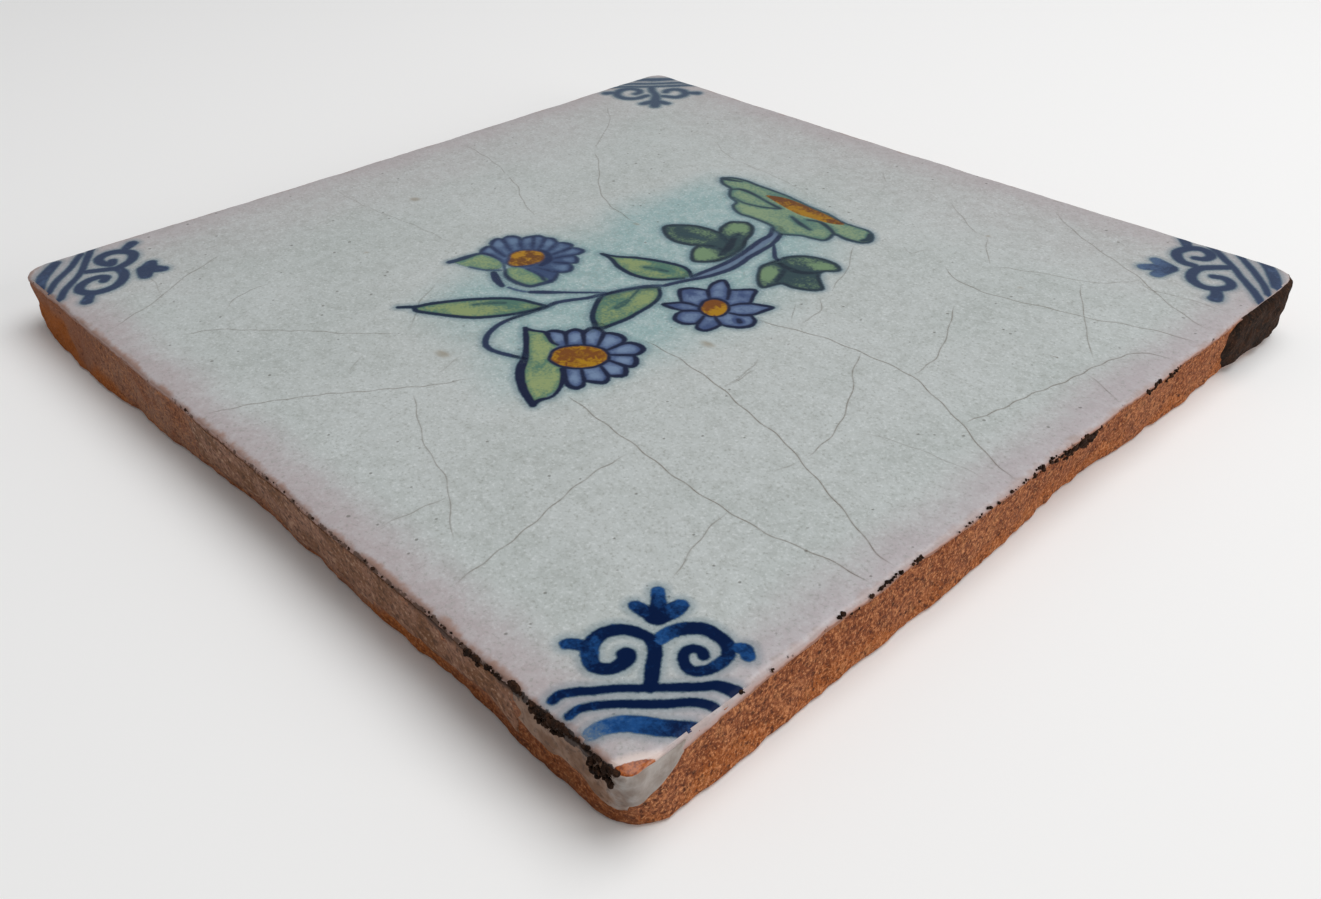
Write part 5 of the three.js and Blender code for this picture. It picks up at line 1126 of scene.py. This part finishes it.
# The craze lines: hair cracks in the old glaze that curve from edge to edge and join, with dirt
# drawn into them. They are fine lines in the glass, seen through it as soft brown threads.
craze_finish = Finish("craze_stain", IOR=1.5)
side_share = craze_finish.read("side")
strength = craze_finish.read("strength")
broken = craze_finish.grain(1.6, 3, 0.6).fade(0.28, 0.62)
core = (side_share + (craze_finish.grain(0.5, 2) - 0.5) * 0.3).fade(0.36, 0.08)
stain = side_share.fade(1.0, 0.1) * 0.1
craze_finish.wear(Base_Color=seen(120, 108, 96), Roughness=0.3,
                  Alpha=(core * (0.16 + broken * 0.25) + stain) * strength)
craze_tracks = [
    (1.0, [(20, 0.25), (24.7, 1.5), (29.7, 3), (36.5, 3.4), (43.3, 3.2), (48.4, 1.1), (53.9, -1.6),
           (59.4, -4.8), (64.4, -6.9)]),
    (1.0, [(13.6, -14.2), (19.6, -14.2), (25.5, -15), (29.7, -15.8), (35.7, -17.5), (41.6, -18.8),
           (45.8, -20.5), (50.9, -22.6), (56, -24.9), (61.1, -27.3), (64.4, -28)]),
    (1.0, [(17, -30), (23.8, -30.9), (31.4, -31.7), (39, -32.7), (46.7, -33), (52.6, -32.8),
           (56.9, -31.9), (61.1, -31.5), (64.4, -31.7)]),
    (0.8, [(-9.7, -63.7), (-7.5, -57.8), (-4.2, -51.9), (0, -45.9), (3.5, -40.8), (6, -35.8)]),
    (0.7, [(-30, -57), (-27.9, -52.7), (-23.6, -48.5), (-18.6, -43.8), (-13.5, -39.6), (-10.1, -35.8)]),
    (0.8, [(31.4, -33.2), (31.4, -38.3), (32.3, -43.4), (33.6, -48.5), (34.8, -54.4), (35.9, -61.2)]),
    (0.7, [(46.3, -32.8), (47.1, -36.6), (48.4, -40.8), (50.1, -45.1)]),
    (1.0, [(53.9, -1.4), (55.2, 4.1), (56, 10), (57.3, 15.9), (58.1, 21.9), (59.4, 26.9), (61.1, 29.1),
           (64.4, 29.5)]),
    (0.7, [(57.7, 18.9), (61.1, 17.6), (64.4, 15.3)]),
    (0.9, [(28.5, 31.6), (31.4, 29.5), (36.5, 28.6), (41.6, 29.5), (45.8, 30.8), (50.9, 32), (56, 34.2),
           (61.1, 35.6), (64.4, 35.7)]),
    (0.7, [(45, 40.5), (47.5, 36.3), (50.9, 31.2), (54.3, 26.1), (56.9, 22.7)]),
    (0.8, [(36.5, 22.7), (38.6, 18.5), (40.8, 14.2), (42.9, 9.2), (43.5, 3.6)]),
    (0.8, [(35.3, 3.6), (37.8, -1), (40.8, -5.3), (43.3, -9.9), (45, -14.6), (45.8, -19.7)]),
    (0.7, [(29.7, 59.6), (34.8, 55.8), (39.9, 52.8), (45, 50.3), (50.1, 47.7), (54.3, 44.7), (59.4, 41.8),
           (64.2, 39.8)]),
    (0.6, [(27.2, 44.7), (29.7, 40.5), (33.1, 36.3)]),
    (0.7, [(28.9, -8.6), (29.3, -15.4)]),
    (0.7, [(-40.6, 26.1), (-36.4, 23.1), (-32.1, 19.3), (-27, 15.1), (-21.1, 12.1), (-13.5, 10.4)]),
    (0.6, [(-43.1, 8.3), (-38, 6.6), (-33, 3.6), (-27, 1.1)]),
    (0.7, [(-49, -40.8), (-45.7, -48.5), (-41.4, -55.3), (-38, -62.9)]),
    (0.6, [(-35.5, -40), (-34.7, -45.9), (-32, -49.5)]),
    (0.6, [(3.5, -43), (8.6, -45.9), (14.5, -48.9), (21.3, -51), (27.2, -54.8), (30.6, -57)]),
    (0.6, [(23.8, -52.3), (23, -61.2)]),
    (0.7, [(22.1, 11.7), (24.7, 8.3), (25.3, 2.8)]),
    (0.4, [(46.7, -11.2), (52.6, -9.5), (62, -8.6)]),
    (0.35, [(-59.2, -15.8), (-47.4, -15.8), (-37.2, -14.6), (-27, -14.2)]),
    (0.6, [(-18.6, -23.9), (-15.2, -29), (-10.1, -34.1)]),
    (1.6, [(52.1, 19.9), (53.1, 19.8), (54, 19.9)]),
    (0.6, [(15, 28.2), (17, 24.6), (19.3, 21.4), (20.6, 17.5), (22.3, 13.8)]),
    (0.6, [(20.7, 7.9), (22.4, 5.6), (24.2, 3.2)]),
    (0.5, [(20, 32.9), (22.5, 31.8), (23.6, 34.3), (25.4, 35.4)]),
    (0.6, [(33, 36), (36.5, 38), (41, 40), (45.5, 41.6), (49, 45), (50.5, 47.5)]),
    (0.5, [(15.7, 51.4), (21.4, 47.1), (26.4, 43.6)]),
    (0.5, [(50, 47.3), (53, 45.4), (56.5, 46.3), (63.5, 46.8)]),
    (0.6, [(27.1, -6.4), (28.4, -9.6), (29.3, -15.7)]),
    (0.7, [(45.7, -20.7), (45.4, -22.4), (45, -24.6)]),
    (0.5, [(0.4, -32.9), (1.0, -35.6), (2.1, -38.6)]),
    (0.4, [(-8.9, -42.1), (-7.4, -44.2), (-5.7, -46.4)]),
    (0.5, [(-60, 12), (-52, 11), (-46, 9.5), (-43.1, 8.3)]),
    (0.4, [(-52, -52), (-46, -52.6), (-42, -53.8)]),
    (0.4, [(0, 55), (2, 52.5), (5, 50)]),
    (0.5, [(-57, 44), (-50, 38), (-44, 30), (-41.4, 26.6)]),
    (0.4, [(-30, 45), (-22, 41), (-12, 40), (-3, 38.5)]),
]
thread_half = 0.3  # half the thread's width, with its stained sides
thread_lift = 0.015  # how far it lies above the glaze
threads = bmesh.new()
side_mark = threads.verts.layers.float.new("side")
strength_mark = threads.verts.layers.float.new("strength")
for weight, points in craze_tracks:
    track = brush(points)[::3, :2]
    x, y = track.T
    track = track + 0.12 * np.column_stack([np.sin(y * 1.7 + x), np.sin(x * 1.3)])
    ahead = np.gradient(track, axis=0)
    ahead /= np.hypot(ahead[:, 0], ahead[:, 1])[:, None]
    beside = np.column_stack([ahead[:, 1], -ahead[:, 0]]) * thread_half
    ends = np.interp(np.arange(len(track)), [0, 4, len(track) - 5, len(track) - 1], [0, 1, 1, 0])
    row = None
    for spot, off, end in zip(track, beside, ends):
        places = [spot - off, spot, spot + off]
        if row is None:
            row = [threads.verts.new((0, 0, 0)) for _ in places]
            edges = [threads.edges.new(pair) for pair in zip(row, row[1:])]
        else:
            geometry = bmesh.ops.extrude_edge_only(threads, edges=edges)["geom"]
            new = {item for item in geometry if isinstance(item, bmesh.types.BMVert)}
            row = [next(edge.other_vert(old) for edge in old.link_edges
                        if edge.other_vert(old) in new) for old in row]
            edges = [threads.edges.get(pair) for pair in zip(row, row[1:])]
        for vertex, place, share in zip(row, places, (1, 0, 1)):
            vertex.co = Vector((*place, glaze_level(*place) + thread_lift)) * mm
            vertex[side_mark] = share
            vertex[strength_mark] = weight * end
bmesh.ops.recalc_face_normals(threads, faces=threads.faces)
if sum(face.normal.z for face in threads.faces) < 0:
    bmesh.ops.reverse_faces(threads, faces=threads.faces)
set_down(threads, "craze_lines", craze_finish, "tin_glaze")


# What ran and stuck on the sides: a thin skin of glaze down the front, a thick pale drip that
# hangs round the near corner, and the lump of dark bedding mortar at the right side's far end.
rim_depth = 0.5  # how far a skin's rim is sunk into the slab
cut_below = -0.3  # a skin ends where its thickness comes out less than this


def side_skin(name, finish, slot, nodes, start, stop, low, high, thickness, along, up):
    """A skin on the slab's sides, from start to stop mm round the edge, as thick as it is told.

    Its cells are as long and as high as along and up say.
    """
    skin = bmesh.new()
    columns, rows = int((stop - start) / along), int((high - low) / up)
    bmesh.ops.create_grid(skin, x_segments=columns, y_segments=rows, size=1)
    spots = read_spots(skin.verts)
    run = start + (spots[:, 0] + 1) / 2 * (stop - start)
    height = low + (spots[:, 1] + 1) / 2 * (high - low)
    thick = np.array([thickness(a, b) for a, b in zip(run, height)])
    put_spots(skin.verts, on_wall(turn_at(run), height, thick) * mm)
    cut_away(skin, thick < cut_below)
    sunk = grow_rim(skin)
    spots = read_spots(sunk) / mm
    put_spots(sunk, on_wall(turn_of(spots), spots[:, 2], -rim_depth) * mm)
    close_up(skin)
    set_down(skin, name, finish, slot, *nodes)


def wave(x, y, seed):
    return noise.noise(Vector((x, y, seed)))


def overrun_thickness(run, height):
    foot = 1.4 + 1.4 * wave(run * 0.12, 0.0, 5.0) + 1.2 * np.clip((run + 44) / 10, 0, 1)
    ends = min((run + 78) / 12, (-14.6 - run) / 1.5, (height - foot) / 1.6)
    lumps = wave(run * 0.22, height * 0.45, 3.0) + 0.5 * wave(run * 0.6, height * 0.9, 8.0)
    return min(0.13 + lumps * 0.12, ends * 0.25 + lumps * 0.1)


overrun_finish = Finish("glaze_skin", IOR=1.5, Specular_IOR_Level=0.12)
cloud = overrun_finish.grain(3.5, 4, 0.6)
fine = overrun_finish.grain(0.6, 4, 0.65)
across, _, tall = overrun_finish.axes()
overrun_finish.colour = overrun_finish.blend(cloud.fade(0.35, 0.65), (112, 74, 48), (138, 100, 80))
overrun_finish.tint(fine.fade(0.5, 0.36) * 0.85, (66, 42, 28))
overrun_finish.tint(fine.fade(0.54, 0.66) * 0.6, (182, 148, 124))
grime = tall.fade(5.8, 7.8) * across.fade(-4, 46) * 0.75
grime = grime + (fine - 0.5) * 1.2 + (cloud - 0.5) * 1.6
overrun_finish.tint(grime.fade(0.5, 0.8) * 0.9, (62, 44, 36))
overrun_finish.wear(Base_Color=overrun_finish.colour, Roughness=0.45 + fine * 0.3,
                    Normal=overrun_finish.bump(cloud * 0.6 + fine * 0.4, 0.25, 0.8))
side_skin("overrun_skin", overrun_finish, "drip_glaze", ["glaze_overrun"], -78, -14.5, 1.0, 7.8,
          overrun_thickness, 0.6, 0.35)


def drip_thickness(run, height):
    front = (height - (2.6 + 0.5 * math.sin(run * 0.7) + 0.1 * abs(run))) / 1.4
    if run > 0:
        bottom = np.interp(run, [0, 2, 3.5, 5, 6.5], [3.2, 3.6, 4.6, 5.4, 6.6])
        front = min((height - bottom) / 0.9, (8.3 - height) / 1.2)
    ends = min((run + 15) / 10, (6.9 - run) / 1.6)
    lumps = 0.12 * wave(run * 0.6, height * 0.7, 5.0)
    body = 0.24 + 0.2 * math.exp(-((run - 0.8) / 2.2) ** 2) + lumps
    return min(body, 0.5 * front + lumps, 0.4 * ends + lumps)


drip_finish = Finish("glaze_drip_white", IOR=1.5, Specular_IOR_Level=0.25)
cloud = drip_finish.grain(2.2, 3, 0.6)
fine = drip_finish.grain(0.6, 3, 0.6)
across, upward, tall = drip_finish.axes()
drip_finish.colour = drip_finish.blend(cloud.fade(0.35, 0.65), (122, 112, 105), (146, 139, 134))
# On the front side the drip is coloured brown like the glaze skin there, and that brown is partly painted
# shade, for the side that faces away from the light.
front_skin_and_shade = (across + (cloud - 0.5) * 5.0).fade(64.9, 62.2)
skin_and_shade_colour = drip_finish.blend(cloud.fade(0.38, 0.62), (112, 80, 58), (136, 108, 90))
skin_and_shade_colour = drip_finish.blend(fine.fade(0.48, 0.32) * 0.7, skin_and_shade_colour, (70, 46, 32))
drip_finish.tint(front_skin_and_shade * 0.95, skin_and_shade_colour)
grime = tall.fade(6.4, 7.8) * across.fade(64.6, 62.6) * 0.7
grime = grime + (fine - 0.5) * 1.2 + (cloud - 0.5) * 1.6
grime = grime.fade(0.5, 0.75) * across.fade(65.0, 63.4)
drip_finish.tint(grime * upward.fade(-62.5, -64.0) * 0.95, (42, 30, 26))
drip_finish.wear(Base_Color=drip_finish.colour, Roughness=0.32 + fine * 0.25 + front_skin_and_shade * 0.15,
                 Normal=drip_finish.bump(cloud * 0.5 + fine * 0.5, 0.2, 0.7))
side_skin("drip_skin", drip_finish, "drip_glaze", ["glaze_drip"], -14.8, 6.8, 1.2, 8.0, drip_thickness,
          0.22, 0.2)


def crust_thickness(run, height):
    along = run - tile_side
    start = np.interp(height, [0.2, 2, 4, 7, 8], [-17.5, -19.5, -21, -20.5, -18])
    ends = min((along - start) / 1.6, (0.7 - along) / 4.5, (height - 0.5) / 0.9, (8.3 - height) / 0.5)
    lumps = wave(run * 0.35, height * 0.5, 1.0) * 0.45 + wave(run * 0.9, height * 1.1, 6.0) * 0.22
    lumps += wave(run * 2.1, height * 2.3, 2.0) * 0.08
    return min(0.8 + lumps * 0.7, 0.85 * ends + lumps * 0.3)


mortar_finish = Finish("old_mortar", Specular_IOR_Level=0.2)
cloud = mortar_finish.grain(1.6, 4, 0.65)
sand = mortar_finish.grain(0.4, 3, 0.7)
mortar_finish.colour = mortar_finish.blend(cloud.fade(0.32, 0.68), (20, 9, 3), (50, 30, 18))
mortar_finish.tint(sand.fade(0.56, 0.7) * 0.6, (84, 56, 38))
mortar_finish.wear(Base_Color=mortar_finish.colour, Roughness=0.93,
                   Normal=mortar_finish.bump(cloud * 0.5 + sand * 0.5, 0.5, 1.0))
side_skin("crust_lump", mortar_finish, "mortar", ["mortar_crust"], 107.5, 132.2, 0.1, 8.25,
          crust_thickness, 0.3, 0.28)


# The crumbs: grains of the same mortar that still cling along the two front edges, in loose
# clusters. Each grain is a small rough lump pressed into the edge of the glaze.
def crumb_cluster(name, nodes, grains, seed):
    """Grains given as place round the edge, height, distance off the side, and half size."""
    chance = np.random.default_rng(seed)
    pile = bmesh.new()
    for run, height, off, half in grains:
        made = bmesh.ops.create_icosphere(pile, subdivisions=2, radius=1)["verts"]
        spots = read_spots(made)
        rough = 1 + 0.45 * lumpy(spots, 1.9, (run, height, seed))
        stretch = chance.uniform(0.7, 1.25, 3) * half
        centre = on_wall(turn_at(np.array([run])), np.array([height]), np.array([off]))[0]
        put_spots(made, (spots * rough[:, None] * stretch + centre) * mm)
    set_down(pile, name, mortar_finish, "mortar", *nodes)


def scatter(clumps, seed):
    """Fills clumps with grains.

    Each is given as its start, stop, low and high, how many grains, how big and how far out.
    """
    chance = np.random.default_rng(seed)
    grains = []
    for start, stop, low, high, count, size, out in clumps:
        for _ in range(count):
            place = chance.uniform(start, stop), chance.uniform(low, high)
            off = chance.uniform(-0.1, 0.18) + out
            half = chance.uniform(0.25, 1) * chance.uniform(0.5, 1) * size
            grains.append((*place, off, half))
    return grains


front_clumps = [(-4.3, -0.9, 7.3, 8.35, 60, 0.42, 0.1), (-4.2, -1.3, 6.3, 7.6, 46, 0.4, 0.4),
                (-11.8, -7.2, 7.4, 8.45, 90, 0.42, 0.15), (-11.0, -8.0, 7.0, 7.7, 24, 0.35, 0.3),
                (-7.2, -4.4, 7.9, 8.35, 12, 0.3, 0.1), (-13.6, -11.8, 7.9, 8.35, 10, 0.3, 0.1),
                (-15.2, -13.8, 8.1, 8.5, 34, 0.4, 0.0), (-18.5, -16.2, 7.9, 8.35, 14, 0.35, 0.1),
                (-21.6, -19.4, 7.5, 8.25, 34, 0.38, 0.1), (-40, -22, 8.1, 8.4, 22, 0.25, 0.0),
                (-62, -40, 8.15, 8.4, 12, 0.22, 0.0), (-78, -76, 8.2, 8.4, 6, 0.25, 0.0)]
right_clumps = [(13.7, 14.4, 8.2, 8.4, 4, 0.3, 0.0), (17.2, 18, 8.1, 8.4, 4, 0.3, 0.0),
                (27, 28.2, 8.3, 8.48, 8, 0.28, 0.0), (29, 30.5, 7.8, 8.0, 6, 0.25, 0.0),
                (32, 37, 8.3, 8.48, 30, 0.28, 0.0), (39, 40.4, 8.0, 8.45, 10, 0.32, 0.0),
                (45, 60, 8.2, 8.42, 26, 0.25, 0.0), (60.8, 63.2, 7.6, 8.45, 18, 0.36, 0.0),
                (64.5, 68, 7.4, 8.4, 26, 0.34, 0.0), (68, 75.4, 6.4, 8.1, 90, 0.32, 0.0),
                (86, 89.2, 7.3, 8.3, 22, 0.34, 0.0), (90.5, 95, 7.3, 8.2, 26, 0.34, 0.0)]
crumb_cluster("mortar_crumbs_front", [f"mortar_crumb_bottom_{k}" for k in (1, 2, 3)],
              scatter(front_clumps, 11), 11)
flat_plates = [(68.8, 7.3, -0.36, 0.62), (69.8, 6.8, -0.36, 0.66), (70.4, 7.4, -0.36, 0.66),
               (71.2, 6.7, -0.36, 0.66), (71.9, 7.35, -0.36, 0.68), (72.5, 6.75, -0.36, 0.66),
               (73.4, 7.3, -0.36, 0.68), (73.9, 6.8, -0.36, 0.62), (74.8, 7.1, -0.36, 0.6),
               (62.4, 7.8, -0.3, 0.45), (66.4, 7.8, -0.3, 0.5), (67.4, 7.6, -0.3, 0.55),
               (87.6, 7.7, -0.3, 0.5), (92.4, 7.7, -0.3, 0.5)]
crumb_cluster("mortar_crumbs_right", [f"mortar_crumb_right_{k}" for k in (1, 2, 3, 4)],
              scatter(right_clumps, 12) + flat_plates, 12)
